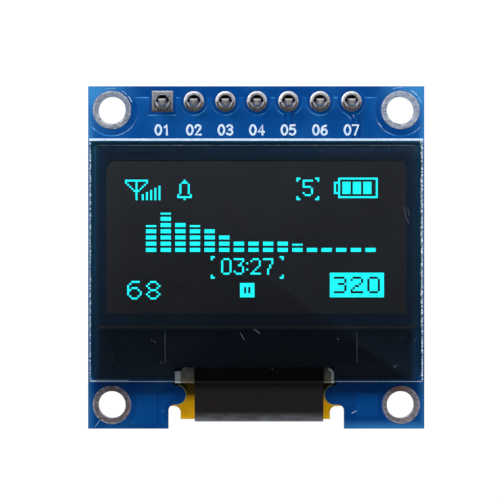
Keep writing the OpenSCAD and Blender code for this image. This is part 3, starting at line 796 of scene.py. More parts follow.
def tin_finish(name, cool, warm, rough_low, rough_high, grain_depth, contrast):
    finish, tree, shader = new_finish(name, cool, 0.4, Metallic=1.0)
    streaks = noise(tree, 2.4, 4.0, stretch=(1.0, 3.2, 1.0), roughness=0.65)
    grain = noise(tree, 16.0, 3.0, roughness=0.7)
    wear = ramp(along(tree, "Y"), 4.0, -9.0, 0.0, 0.75) + ramp(noise(tree, 0.8), 0.45, 0.7, -0.15, 0.25)
    base = mix(wear, cool, warm)
    dark = mix(wear, *(tuple(v * (1 - contrast) for v in tone) for tone in (cool, warm)))
    vary(shader,
         Base_Color=mix(ramp(streaks, 0.36, 0.62), dark, base),
         Roughness=ramp(streaks + grain, 0.7, 1.3, rough_low, rough_high))
    relief(shader, streaks * 0.7 + grain, grain_depth)
    return finish


def over(finish, share, tone):
    """Lays a tone over a finish's base colour, where share is 1."""
    tree = finish.node_tree
    socket = tree.nodes["Principled BSDF"].inputs["Base Color"]
    plug(tree, socket, mix(share, socket.links[0].from_socket, tone))


def ring_tones_and_painted_light(finish):
    """Painted highlights on the rims, painted shade on the left rings and in swirls on the lower ones, a
    painted shadow along the outer edge, and a rusty tone on the lower right ring, by the distance from the
    hole's centre.
    """
    tree = finish.node_tree
    reach = hole_reach(tree)
    x, y = along(tree, "X"), along(tree, "Y")
    broken = ramp(noise(tree, 3.5, 3.0), 0.4, 0.62)
    low = ramp(y, 2.0, -4.0)
    left = ramp(x, 2.0, -6.0)
    swirl = ramp(noise(tree, 1.3, 4.0, shift=(3, 7, 0), roughness=0.7), 0.42, 0.6)
    # Painted shade: the left rings are darker, and the lower rings are darker in swirls.
    painted_shade_share = left * 0.28 + low * swirl * 0.34
    over(finish, painted_shade_share * ramp(reach, 1.05, 1.12), paint(40, 38, 42))
    # Painted highlight: a broken bright band near the outer rim.
    outer = ramp(reach, 1.38, 1.45) * ramp(reach, 1.52, 1.56, 1.0, 0.0)
    over(finish, outer * (broken * 0.6), paint(222, 228, 240))
    # Painted shadow of the lacquer's edge along the outermost rim.
    over(finish, ramp(reach, 1.55, 1.57) * 0.7, paint(30, 44, 78))
    far_corner = x + y
    # Painted highlight: a broken bright band on the lower side of the inner rim of the upper rings.
    lower_side = ramp(abs(y) - abs(holes[0].y), 0.0, -0.7)
    top_holes = ramp(y, 2.0, 4.0) * lower_side
    inner = top_holes * ramp(reach, 1.42, 1.18)
    over(finish, inner * (broken * 0.75), paint(236, 240, 248))
    rusty = ramp(far_corner, -2.0, 0.5) * ramp(y, -10.9, -10.5)
    rusty = rusty * ramp(y, 0.0, -2.0)
    over(finish, rusty * 0.55, paint(186, 128, 96))


def pad_tones_and_painted_light(finish):
    """Painted shade on the lower sides, a painted highlight on the upper rims and painted shade round the
    outer edges of the round pads, and a darker middle on the square pad, by the distance from the pad's
    centre.
    """
    tree = finish.node_tree
    x, y, reach = pad_place(tree)
    fleck = ramp(noise(tree, 5.0, 3.0, roughness=0.7), 0.38, 0.62)
    # Painted shade on the lower side of each pad, flecked.
    painted_lower_shade = ramp(y, 0.25, -0.55) * ramp(fleck, 0.0, 1.0, 0.35, 0.75)
    over(finish, painted_lower_shade, paint(96, 86, 82))
    # Painted highlight on the upper rim of the round pads.
    painted_pad_highlight = ramp(reach, 0.56, 0.66) * ramp(y - x, 0.1, 0.7)
    first = ramp(along(tree, "X"), -6.2, -6.4)
    others = 1.0 - first
    painted_pad_highlight = painted_pad_highlight * (others * ramp(fleck, 0.0, 1.0, 0.4, 0.9))
    over(finish, painted_pad_highlight, paint(244, 246, 250))
    # Painted shade round the outer edge of the round pads.
    over(finish, others * ramp(reach, 0.8, 0.84, 0.0, 0.55), paint(70, 66, 70))
    edge = calc("MAXIMUM", abs(x), abs(y))
    over(finish, first * ramp(edge, 0.8, 0.74, 0.0, 0.4), paint(46, 54, 70))


def lap_lacquer(finish, openings):
    """Lays lacquer over a ring outside each opening, given as (hole, shift along X, radius)."""
    tree = finish.node_tree
    shader = tree.nodes["Principled BSDF"]
    x, y = along(tree, "X"), along(tree, "Y")
    covered = None
    for hole, shift, radius in openings:
        reach = reach_from(tree, x - (hole.x + shift), y - hole.y)
        outside = ramp(reach, radius, radius + 0.03) * ramp(reach, 2.0, 2.1, 1.0, 0.0)
        covered = outside if covered is None else calc("MAXIMUM", covered, outside)
    metal = shader.inputs["Base Color"].links[0].from_socket
    vary(shader,
         Base_Color=mix(covered, metal, LAMINATE_BLUE),
         Metallic=1.0 - covered)


ring_tin = tin_finish("tin_on_rings", paint(176, 190, 212), paint(178, 160, 162), 0.34, 0.56, 0.025, 0.5)
ring_tones_and_painted_light(ring_tin)
lap_lacquer(ring_tin, [(holes[2], -0.02, 1.54), (holes[3], 0.07, 1.50)])
pad_tin = tin_finish("tin_on_pads", paint(184, 186, 192), paint(176, 160, 164), 0.24, 0.42, 0.03, 0.3)
pad_tones_and_painted_light(pad_tin)
dress(ring_tin, *names_of("mount_hole_plating", 4))
dress(pad_tin, *names_of("header_pad", 7))

# %% [markdown]
# ## Pins and solder
# The header pins are drawn brass under dull tin, with fine lines along their length. The
# solder round them froze bright and slightly rippled, with darker flux in the hollow. On the
# front joints two bright crescents beside each pin are painted highlights, and the near black
# above the pin is painted shade.

# %% Pin and solder finishes
def pin_finish():
    finish, tree, shader = new_finish("tinned_pin", paint(214, 211, 204), 0.35, Metallic=1.0, Anisotropic=0.4)
    lines = noise(tree, 9.0, 3.0, stretch=(3.0, 3.0, 0.15))
    vary(shader, Base_Color=mix(lines, paint(150, 147, 143), paint(206, 204, 200)))
    upward = ramp(face_way(tree, "Z"), 0.5, 0.8) * ramp(noise(tree, 6.0, 3.0), 0.6, 0.4)
    over(finish, upward * 0.8, paint(128, 124, 120))
    vary(shader, Roughness=ramp(lines, 0.3, 0.7, 0.42, 0.6))
    relief(shader, lines, 0.008)
    return finish


def solder_finish():
    finish, tree, shader = new_finish("solder_metal", paint(216, 216, 214), 0.25, Metallic=1.0)
    ripple = noise(tree, 5.0, 3.0)
    flux = ramp(noise(tree, 3.0, 2.0, shift=(4, 2, 1)), 0.45, 0.62, 0.35, 0.95)
    vary(shader,
         Base_Color=mix(flux, paint(196, 196, 194), paint(96, 88, 80)),
         Roughness=ramp(ripple, 0.3, 0.7, 0.3, 0.5))
    relief(shader, ripple, 0.03)
    x, y, reach = pad_place(tree)
    in_header = ramp(along(tree, "Y"), 11.0, 11.1)
    # Painted highlight: two bright crescents beside each pin of the front joints.
    beside = ramp(abs(x), 0.22, 0.36)
    band = ramp(reach, 0.42, 0.47) * ramp(reach, 0.6, 0.53)
    crescent = beside * band * ramp(y, 0.02, -0.12)
    over(finish, in_header * ramp(reach, 0.5, 0.58, 0.0, 0.6), paint(92, 84, 80))
    over(finish, in_header * crescent, paint(244, 246, 250))
    # Painted shade: near black over the gap above the pin, standing in for its shadow.
    hollow = ramp(reach, 0.5, 0.46) * ramp(y, -0.16, -0.04)
    over(finish, in_header * hollow, paint(9, 9, 10))
    return finish


solder_metal = solder_finish()
dress(pin_finish(), *names_of("header_pin", 7))
dress(solder_metal, *names_of("solder_joint", 7), "flex_solder_row")

# %% [markdown]
# ## Plain moulded and bonded solids
# These finishes are simple and sit mostly out of sight: the header's nylon with a fine
# spark-eroded grain, the foam tape with its cells, the drying sheet's fibres.

# %% Nylon, foam and drying sheet
def grained(name, dark, light, per_mm, depth, rough_low, rough_high, **constants):
    """A moulded or fibrous surface: one noise for colour, roughness and bump."""
    finish, tree, shader = new_finish(name, dark, rough_low, **constants)
    grain = noise(tree, per_mm, 4.0, roughness=0.6)
    broad = noise(tree, per_mm / 9, 2.0)
    vary(shader,
         Base_Color=mix((grain + broad) * 0.5, dark, light),
         Roughness=ramp(grain, 0.3, 0.7, rough_low, rough_high))
    relief(shader, grain, depth)
    return finish


dress(grained("header_nylon", paint(20, 20, 21), paint(40, 40, 42), 14.0, 0.012, 0.45, 0.62),
      "header_housing")
dress(grained("foam_cells", paint(206, 205, 200), paint(240, 239, 234), 8.0, 0.05, 0.8, 0.95), "foam_tape")
dress(grained("drying_fibres", paint(200, 200, 198), paint(232, 232, 230), 11.0, 0.02, 0.75, 0.9),
      "drying_sheet")

# %% [markdown]
# ## See-through glass and seal
# Two thin glass sheets make the panel, sealed together round the rim. These finishes are for
# the rear one and the seal. Alpha lets some of what is behind show through unbent, which is
# right for a sheet this thin. The faces carry painted light and shade by X: a blue for the lit
# board seen through the margin, brighter at the panel's sides. The cut edges are painted
# clearer and paler, a painted highlight for light that runs along inside the sheet and leaves
# there.

# %% Clear finishes
def clear_finish(name, colour, alpha, rough, **constants):
    finish, tree, shader = new_finish(name, colour, rough, Alpha=alpha, IOR=1.5, **constants)
    smear = noise(tree, 0.5, 3.0, stretch=(1.0, 0.4, 1.0))
    vary(shader, Roughness=ramp(smear, 0.35, 0.7, rough, rough + 0.1))
    return finish


def painted_side_light(finish, left, right, dark, bright):
    """Paints light and shade on a layer by X: bright outside left and right, each a pair (outer, inner)."""
    tree = finish.node_tree
    x = along(tree, "X")
    side = calc("MAXIMUM", ramp(x, left[1], left[0]), ramp(x, right[1], right[0]))
    shader = tree.nodes["Principled BSDF"]
    # Painted highlight: the cut edges are paler and clearer than the faces.
    flat = ramp(abs(face_way(tree, "Z")), 0.4, 0.6)
    vary(shader,
         Base_Color=mix(flat, paint(150, 186, 184), mix(side, dark, bright)),
         Alpha=ramp(flat, 0.0, 1.0, 0.3, 0.85))


# The blues here are painted light and shade: the lit board seen through the panel's margin.
glass_clear = clear_finish("clear_sheet_glass", paint(34, 76, 104), 0.85, 0.3, Specular_IOR_Level=0.1)
painted_side_light(glass_clear, (-13.1, -12.9), (12.95, 12.6), paint(44, 96, 132), paint(50, 110, 150))
seal_clear = clear_finish("rim_seal", paint(26, 44, 60), 0.85, 0.4, Specular_IOR_Level=0.1)
painted_side_light(seal_clear, (-12.90, -12.66), (12.85, 12.5), paint(36, 82, 120), paint(50, 110, 150))
dress(glass_clear, "rear_cover_glass")
dress(seal_clear, "edge_seal")

# %% [markdown]
# ## The layers of dots
# Behind the front glass lie the organic layers and their metal back, which look like a dark
# mirror. Its upper corners are cut off, where the leads run past.

# %% Dark film behind the glass
def film_finish():
    finish, tree, shader = new_finish("dark_film", paint(60, 61, 66), 0.3, Metallic=0.0)
    haze = noise(tree, 0.16, 3.0)
    vary(shader,
         Base_Color=mix(haze, paint(106, 96, 105), paint(111, 111, 118)),
         Roughness=ramp(haze, 0.3, 0.7, 0.25, 0.4))
    return finish


light_low, light_high = span("light_film")
VIEW_LEFT, VIEW_RIGHT, VIEW_TOP, VIEW_FOOT = -12.63, 12.8, 7.75, -5.7
CORNER_X, CORNER_Y = 1.0, 1.75
film_outline = [
    (VIEW_LEFT, VIEW_FOOT), (VIEW_RIGHT, VIEW_FOOT), (VIEW_RIGHT, VIEW_TOP - CORNER_Y),
    (VIEW_RIGHT - CORNER_X, VIEW_TOP), (VIEW_LEFT + CORNER_X, VIEW_TOP), (VIEW_LEFT, VIEW_TOP - CORNER_Y),
]
dark_film = flat_shape([film_outline], light_low.z, light_high.z - 0.002)
add_piece("dark_film", dark_film, film_finish(), ["light_film"])

# %% [markdown]
# ## Lit dots
# The screen has 128 by 64 dots, each a square of light. The lit ones are drawn as rows of
# characters, where a hash is a lit dot: small marks, plain numbers and a bar graph. Each dot
# becomes one thin square plate on the film, so the pattern keeps its sharp grid up close.

# %% The marks on the screen
DOT_X, DOT_Y = 0.1678, 0.166
SCREEN_LEFT, SCREEN_TOP = -10.706, 6.587
MARKS = {
    "mast": "########### #....#....# .#...#...#. ..#..#..#.. ...#.#.#... ....###.... .....#..... .....#..... "
            ".....#..... .....#.....",
    "bell": "...#... ..###.. .#...#. .#...#. .#...#. .#...#. .#...#. #.....# ####### ...#...",
    "cell": "..################### ..#.................# ###.................# #.#.................# "
            "#.#.................# #.#.................# #.#.................# ###.................# "
            "..#.................# ..###################",
    "pause": "####### ####### ##.#.## ##.#.## ##.#.## ####### #######",
    "6": "..####. .#..... #...... #.###.. ##...#. #.....# #.....# .#...#. ..###..",
    "8": "..###.. .#...#. #.....# .#...#. ..###.. .#...#. #.....# .#...#. ..###..",
    "3": "#####. .....# .....# ..###. .....# .....# .....# #####.",
    "2": ".####. #....# .....# ....#. ..##.. .#.... #..... ######",
    "0": ".####. #....# #....# #....# #....# #....# #....# .####.",
    "a0": ".###. #...# #...# #...# #...# #...# #...# .###.",
    "a2": ".###. #...# ....# ....# ...#. ..#.. .#... #####",
    "a3": "##### ....# ...#. ..##. ....# ....# #...# .###.",
    "a5": "##### #.... #.... ####. ....# ....# #...# .###.",
    "a7": "##### ....# ....# ...#. ...#. ..#.. ..#.. ..#..",
    "a:": ". . # . . # . .",
}
lit = set()


def draw_mark(name, column, row, on=True):
    """Lights the dots of a mark whose upper left corner is given, or darkens them."""
    for down, line in enumerate(MARKS[name].split()):
        for across, dot in enumerate(line):
            if dot == "#":
                (lit.add if on else lit.discard)((column + across, row + down))


def draw_block(column, row, width, height):
    lit.update((column + a, row + d) for a in range(width) for d in range(height))


def draw_corners(column, row, width, height):
    """Four corner marks round a word."""
    for side, right in ((0, False), (width - 1, True)):
        for end, low in ((0, False), (height - 1, True)):
            step_x, step_y = (-1 if right else 1), (-1 if low else 1)
            for a, d in ((0, 0), (1, 0), (0, 1)):
                lit.add((column + side + a * step_x, row + end + d * step_y))


# %% Drawing the screen
draw_mark("mast", 1, 2)
for k in range(5):
    draw_block(9 + 2 * k, 9 - k, 1, 3 + k)
draw_mark("bell", 26, 2)
draw_corners(83, 1, 11, 11)
draw_mark("a5", 86, 2)
draw_mark("cell", 101, 1)
for k in range(3):
    draw_block(105 + 5 * k, 3, 4, 6)
BAR_HEIGHTS = (13, 19, 15, 13, 11, 8, 5, 5, 5, 5, 4, 2, 2, 2, 2, 2)
for k, height in enumerate(BAR_HEIGHTS):
    for rise in range(height):
        if rise % 3 != 2:
            draw_block(11 + 7 * k, 36 - rise, 5, 1)
draw_corners(42, 39, 35, 11)
for k, (name, step) in enumerate((("a0", 0), ("a3", 6), ("a:", 12), ("a2", 14), ("a7", 20))):
    draw_mark(name, 47 + step, 40)
draw_mark("pause", 56, 52)
draw_mark("6", 2, 51)
draw_mark("8", 11, 51)
draw_block(99, 47, 26, 12)
for k, name in enumerate(("3", "2", "0")):
    draw_mark(name, 101 + 8 * k, 49, on=False)
print("lit dots:", len(lit))

# %% Lit dots as squares of light
light_cyan, _, light_shader = new_finish("lit_dot", paint(4, 30, 32), 0.4, Emission_Strength=2.5)
vary(light_shader, Emission_Color=(0.01, 0.9, 0.93))
DOT_FILL = 0.92
dots = bmesh.new()
for column, row in sorted(lit):
    centre = (SCREEN_LEFT + (column + 0.5) * DOT_X, SCREEN_TOP - (row + 0.5) * DOT_Y, light_high.z + 0.001)
    spot = Matrix.Translation(centre) @ Matrix.Diagonal((DOT_X * DOT_FILL, DOT_Y * DOT_FILL, 0.004, 1))
    bmesh.ops.create_cube(dots, size=1, matrix=spot)
screen_dots = add_piece("lit_dots", dots, light_cyan)
screen_dots.visible_glossy = screen_dots.visible_diffuse = False

# %% [markdown]
# ## Front glass and polarizer
# The front sheet is scribed and snapped glass, so its edges are nearly sharp with a fine
# chamfer. The polarizer on top is a dark plastic film with a cut edge that shines a little, and
# a painted highlight runs along its upper edge as a pale hairline.
# Both are boxes with bevelled edges. The glass mixes see-through with a mirror by Fresnel,
# and the film is a dark surface at a quarter Alpha, so that the dots shine through it.

# %% Bevelled sheets
def sheet(low, high, chamfer, corner=0.0):
    """A flat sheet with chamfered rims, and its upright corners rounded if corner is given."""
    shape = bmesh.new()
    size, centre = high - low, (low + high) / 2
    bmesh.ops.create_cube(shape, size=1, matrix=Matrix.Translation(centre) @ Matrix.Diagonal((*size, 1)))
    if corner:
        upright = [e for e in shape.edges if abs(e.verts[0].co.z - e.verts[1].co.z) > size.z / 2]
        bmesh.ops.bevel(shape, geom=upright, offset=corner, segments=6, profile=0.5, affect="EDGES",
                        material=-1)
    rims = [e for e in shape.edges if abs(e.verts[0].co.z - e.verts[1].co.z) < 1e-4 and len(e.link_faces) == 2
            and abs(e.link_faces[0].normal.z - e.link_faces[1].normal.z) > 0.5]
    bmesh.ops.bevel(shape, geom=rims, offset=chamfer, segments=2, profile=0.5, affect="EDGES", material=-1)
    return shape


def front_glass_finish():
    finish, tree = bare_finish("front_sheet_glass")
    bump = add(tree, "Bump", Height=noise(tree, 0.25, 1.0), Distance=0.01 * MM)
    clear = add(tree, "BsdfTransparent", Color=(0.90, 0.95, 0.97))
    smear = ramp(noise(tree, 0.7, 4.0), 0.3, 0.75, 0.03, 0.16)
    mirror = add(tree, "BsdfGlossy", Color=(0.3, 0.3, 0.3), Roughness=smear, Normal=bump)
    surface = tree.nodes.new("ShaderNodeOutputMaterial")
    whole = blend_shaders(tree, add(tree, "Fresnel", IOR=1.5), clear, mirror)
    tree.links.new(whole, surface.inputs["Surface"])
    return finish


def polarizer_finish():
    finish, tree, shader = new_finish("dark_polarizer", paint(22, 23, 25), 0.12, Alpha=0.25, IOR=1.48,
                                      Specular_IOR_Level=0.15)
    smudge = noise(tree, 0.22, 4.0, stretch=(1.0, 1.6, 1.0), roughness=0.6)
    vary(shader,
         Base_Color=mix(smudge, paint(18, 18, 20), paint(30, 31, 33)),
         Roughness=ramp(smudge, 0.3, 0.75, 0.08, 0.26))
    relief(shader, noise(tree, 0.9, 2.0), 0.002)
    return finish


add_piece("front_glass_sheet", sheet(glass_low, glass_high, 0.02, 0.05), front_glass_finish(),
          ["front_glass"])
add_piece("polarizer_sheet", sheet(film_low, film_high, 0.025, 0.12), polarizer_finish(),
          ["polarizer"])


def rim_line():
    """A painted highlight: a pale hairline along the polarizer's upper edge."""
    line = bmesh.new()
    middle_x, width = (film_low.x + film_high.x) / 2, film_high.x - film_low.x - 0.3
    centre = (middle_x, film_high.y - 0.02, film_high.z - 0.005)
    spot = Matrix.Translation(centre) @ Matrix.Diagonal((width, 0.045, 0.02, 1))
    bmesh.ops.create_cube(line, size=1, matrix=spot)
    return line


# Painted highlight along the polarizer's upper edge.
rim_light, rim_tree, rim_shader = new_finish("polarizer_rim", paint(90, 112, 128), 0.6, Alpha=0.5)
vary(rim_shader,
     Base_Color=mix(ramp(noise(rim_tree, 2.0, 3.0), 0.35, 0.65), paint(40, 58, 72), paint(120, 140, 156)))
add_piece("polarizer_painted_highlight", rim_line(), rim_light)

# %% [markdown]
# ## Snapped edges of the glass
# Where the sheet was scribed and snapped, a frosted band of tiny chips runs along its left
# and right edges. Each band is a strip with a ragged inner side, drawn with a seeded dice.

# %% Frosted bands
def frosted_finish():
    finish, tree, shader = new_finish("frosted_edge", paint(196, 220, 240), 0.6)
    chips = noise(tree, 6.0, 3.0, roughness=0.7)
    vary(shader, Base_Color=mix(ramp(chips, 0.4, 0.6), paint(60, 104, 140), paint(226, 240, 250)))
    left_thin = ramp(along(tree, "X"), -2.0, 2.0, 0.7, 0.95)
    vary(shader, Alpha=ramp(chips, 0.38, 0.58, 0.15, left_thin))
    relief(shader, chips, 0.02)
    return finish


def ragged_band(edge, width, rough, foot, top):
    """A strip along X = edge whose inner side wanders, between two values of Y."""
    inward = -math.copysign(1, edge)
    steps = int((top - foot) / 0.16)
    heights = [foot + (top - foot) * k / steps for k in range(steps + 1)]
    inner = [(edge + inward * (width + dice.uniform(-rough, rough)), y) for y in heights]
    return flat_shape([[(edge, top), (edge, foot)] + inner], glass_high.z - 0.03, glass_high.z + 0.003)


bands = [
    ragged_band(glass_high.x, 0.16, 0.05, -5.65, glass_high.y),
    ragged_band(glass_high.x, 0.11, 0.04, glass_low.y, -5.70),
    ragged_band(glass_low.x, 0.10, 0.03, glass_low.y, glass_high.y),
]
add_piece("glass_edge_chips", joined(*bands), frosted_finish())

# %% [markdown]
# ## Ledge
# Below the polarizer the front glass runs on as a bare ledge, where the driver chip sits
# behind the glass under a black coating. Towards its outline the coating is painted blue, a
# painted light for the lit board showing past its edge. This follows the distance from the
# coating's outline.

# %% Black coating
coat_low, coat_high = span("ledge_coating")


def coating_finish():
    finish, tree, shader = new_finish("black_coating", paint(14, 17, 22), 0.35, Specular_IOR_Level=0.4)
    # Painted light: towards its outline the coating is painted blue, for the lit board showing past its edge.
    x = along(tree, "X")
    left = ramp(x - coat_low.x, -0.1, 0.8, soft=True)
    right = ramp(coat_high.x - x, -0.05, 1.0, soft=True)
    foot = ramp(along(tree, "Y") - coat_low.y, -0.2, 0.22, soft=True)
    painted_rim_fade = left * right * foot
    cloud = noise(tree, 0.5, 3.0)
    body = mix(cloud, paint(28, 40, 57), paint(34, 46, 64))
    vary(shader,
         Base_Color=mix(painted_rim_fade, paint(40, 104, 160), body),
         Roughness=ramp(cloud, 0.3, 0.7, 0.25, 0.45))
    relief(shader, noise(tree, 1.5, 3.0), 0.01)
    return finish


coat_finish = coating_finish()
dress(coat_finish, "ledge_coating", "driver_chip")

# %% [markdown]
# ## Flex cable
# The cable is amber polyimide film with copper tracks, under a black cover film that stops
# short of its edges. The tracks press through as fine lengthwise ridges. Where the film turns
# round the board's edge it faces the lamps, and the bend is painted paler in blotches, a
# painted highlight. Near the glass the amber is painted darker, a painted shade.

# %% Flex finishes
def flex_lines(tree, pitch=0.24):
    """Lengthwise ridges of the tracks, from 0 to 1."""
    phase = along(tree, "X") * (2 * math.pi / pitch)
    return calc("MULTIPLY_ADD", calc("SINE", phase), 0.5, 0.5)


def amber_finish():
    finish, tree, shader = new_finish("amber_film", paint(186, 148, 22), 0.28, Specular_IOR_Level=0.3)
    y = along(tree, "Y")
    # Painted shade: towards the glass the amber darkens from its lit tone to olive.
    shade = ramp(y, -11.9, -10.6, soft=True)
    cloud = noise(tree, 1.3, 3.0)
    lit_tone = mix(cloud, paint(222, 184, 26), paint(244, 206, 50))
    tone = mix(shade, lit_tone, paint(128, 116, 18))
    bonded = ramp(y, -10.0, -9.9) * ramp(along(tree, "Z"), 0.9, 1.0)
    tone = mix(bonded, tone, paint(12, 13, 14))
    vary(shader,
         Base_Color=tone,
         Roughness=ramp(cloud, 0.3, 0.7, 0.22, 0.36))
    relief(shader, noise(tree, 3.0, 2.0), 0.01)
    through = add(tree, "BsdfTransparent", Color=paint(238, 206, 70))
    clear = ramp(y, -10.5, -12.0, 0.12, 0.66, soft=True)
    share = (1.0 - bonded) * clear
    whole = blend_shaders(tree, share, shader.outputs[0], through)
    tree.links.new(whole, tree.nodes["Material Output"].inputs["Surface"])
    return finish


def cover_finish():
    finish, tree, shader = new_finish("black_cover_film", paint(24, 20, 23), 0.45, Specular_IOR_Level=0.22)
    grain = noise(tree, 9.0, 3.0)
    fibres = noise(tree, 3.0, 3.0, stretch=(2.2, 0.25, 0.25))
    y = along(tree, "Y")
    # Painted highlight: the bend is painted paler in blotches, where it faces the lamps.
    blotch = ramp(noise(tree, 1.6, 4.0, stretch=(0.5, 1.5, 1.0)), 0.38, 0.62, 0.4, 1.15)
    bend = ramp(y, -12.35, -13.1, 0.0, 0.95, soft=True) * blotch
    base = mix(noise(tree, 0.9, 3.0), paint(19, 17, 19), paint(27, 22, 24))
    vary(shader,
         Base_Color=mix(bend, base, paint(87, 92, 99)),
         Roughness=ramp(grain + fibres, 0.7, 1.3, 0.34, 0.5))
    height = flex_lines(tree) * 0.12 + fibres * 0.3
    relief(shader, height + grain * 0.3, 0.005)
    return finish


dress(amber_finish(), "flex_base")
dress(cover_finish(), "flex_cover")

# %% Black glue over the glass's lower edge
neck_left, neck_right = span("glue_bead_left")[1].x, span("glue_bead_right")[0].x
edge_glue = bmesh.new()
section = [(glass_low.y + 0.04, glass_high.z + 0.004), (glass_low.y - 0.02, glass_high.z - 0.02),
           (glass_low.y - 0.10, glass_high.z - 0.35), (glass_low.y - 0.26, span("flex_cover")[1].z - 0.01),
           (glass_low.y + 0.04, span("flex_cover")[1].z - 0.01)]
ends = [[edge_glue.verts.new((x, y, z)) for y, z in section] for x in (neck_left, neck_right)]
for k in range(len(section)):
    edge_glue.faces.new((ends[0][k - 1], ends[0][k], ends[1][k], ends[1][k - 1]))
edge_glue.faces.new(ends[0])
edge_glue.faces.new(ends[1])
glue_black = grained("edge_glue_black", paint(11, 12, 14), paint(18, 18, 20), 5.0, 0.01, 0.55, 0.7,
                     Specular_IOR_Level=0.15)
left_patch = [(-6.64, -9.2), (-6.05, -9.2), (-5.7, -8.82), (-5.7, -8.74), (-6.64, -8.74)]
right_patch = [(5.9, -8.9), (6.36, -9.3), (6.36, -8.74), (5.9, -8.74)]
patches = [flat_shape([patch], light_low.z - 0.02, light_high.z - 0.001)
           for patch in (left_patch, right_patch)]
add_piece("coating_patches", joined(*patches), glue_black)
add_piece("edge_glue", edge_glue, glue_black)

# %% [markdown]
# ## Glue beads
# A drop of pale cured glue holds the cable to the glass at each side. Each is a flat drop with
# a soft edge, set in the solid's own space, and a brighter strip along its outer rim is a
# painted highlight.

# %% Glue beads
def glue_finish(name, dark, light):
    finish, tree, shader = new_finish(name, dark, 0.25, Subsurface_Weight=0.15,
                                      Subsurface_Radius=(0.0006, 0.0005, 0.0004))
    cloud = noise(tree, 1.8, 3.0)
    fade = ramp(along(tree, "Y"), -8.9, -10.0, 0.0, 0.7)
    share = fade + ramp(cloud, 0.35, 0.65, -0.1, 0.3)
    vary(shader,
         Base_Color=mix(share, dark, light),
         Roughness=ramp(cloud, 0.3, 0.7, 0.18, 0.35))
    relief(shader, noise(tree, 3.0), 0.02)
    return finish


glue = glue_finish("pale_glue", paint(92, 94, 94), paint(150, 142, 124))
# Painted highlight: the paler glue of the strips along the beads' outer rims.
glue_painted_highlight = glue_finish("glue_painted_highlight", paint(196, 202, 216), paint(232, 234, 240))
low, high = span("glue_bead_left")
foot = low.y + 0.04
left_drop = [(-6.1, foot), (high.x, foot), (high.x, high.y), (-5.78, high.y), (-6.1, high.y - 0.3)]
left_rim = [(low.x, foot), (-6.06, foot), (-6.06, high.y - 0.28), (low.x, high.y - 0.32)]
add_piece("glue_bead_left_drop", flat_shape([left_drop], low.z, high.z, 0.12), glue,
          ["glue_bead_left"])
add_piece("glue_bead_left_painted_highlight", flat_shape([left_rim], low.z, high.z - 0.03, 0.1), glue_painted_highlight)
low, high = span("glue_bead_right")
BEAD_R = 0.5
turn_middle = (high.x - BEAD_R, high.y - BEAD_R)
bend = arc(turn_middle, BEAD_R, 0, 90, 10)
outer_bend = arc(turn_middle, BEAD_R - 0.03, 0, 90, 10)
inner_bend = arc(turn_middle, BEAD_R - 0.26, 90, 0, 10)
right_drop = [(low.x, foot), (high.x, foot)] + bend + [(low.x, high.y)]
right_rim = [(high.x - 0.26, foot), (high.x - 0.03, foot)] + outer_bend + inner_bend
add_piece("glue_bead_right_drop", flat_shape([right_drop], low.z, high.z - 0.02, 0.12), glue,
          ["glue_bead_right"])
add_piece("glue_bead_right_painted_highlight", flat_shape([right_rim], high.z - 0.12, high.z + 0.01, 0.05), glue_painted_highlight)

# %% Milled edge of the notch
# The cutter leaves a pale raised edge on the laminate round the two noses of the notch.
milled, milled_tree, milled_shader = new_finish("milled_edge", paint(150, 150, 60), 0.6)
vary(milled_shader, Base_Color=mix(noise(milled_tree, 5.0, 3.0), paint(110, 112, 40), paint(176, 176, 96)))
relief(milled_shader, noise(milled_tree, 10.0, 3.0), 0.02)
NOSE_R, NOSE_Y = 0.77, -11.08
rims = []
for centre_x, start, end in ((-6.45, -100, 78), (6.31, 102, 280)):
    outer = arc((centre_x, NOSE_Y), NOSE_R + 0.07, start, end)
    inner = arc((centre_x, NOSE_Y), NOSE_R + 0.003, end, start)
    rims.append(flat_shape([outer + inner], 0.3, board_front - 0.02))
add_piece("notch_milled_edge", joined(*rims), milled)

# %% [markdown]
# ## Dust and scratches
# A module straight from its bag carries a few specks of dust and hairline scratches on the
# glass and the polarizer, and the lacquer has a few small nicks. Pale arcs round the upper
# holes and two short strokes on the track by the seventh pad are painted highlights.
# Specks are flattened round grains, scratches are strokes, and a seeded dice scatters the
# smallest specks.

# %% Dust and scratches
def speck(x, y, level, radius):
    """A flattened grain of dust."""
    grain = bmesh.new()
    bmesh.ops.create_icosphere(grain, subdivisions=1, radius=radius)
    bmesh.ops.scale(grain, vec=(1, dice.uniform(0.7, 1.3), 0.35), verts=grain.verts)
    bmesh.ops.translate(grain, vec=(x, y, level), verts=grain.verts)
    return grain


def scratch(points, width, level):
    """A hairline, flattened onto a level."""
    line = pen_stroke(points, width, True)
    bmesh.ops.scale(line, vec=(1, 1, 0.25), verts=line.verts)
    return raised(line, level)


FILM_DUST, GLASS_DUST = 26, 18
FINEST, COARSEST = 0.008, 0.02
DUST_REACH = 12.5


def scattered(count, foot, top, level):
    """The smallest specks, thrown between two values of Y."""
    specks = []
    for _ in range(count):
        x, y = dice.uniform(-DUST_REACH, DUST_REACH), dice.uniform(foot, top)
        specks.append(speck(x, y, level, dice.uniform(FINEST, COARSEST)))
    return specks


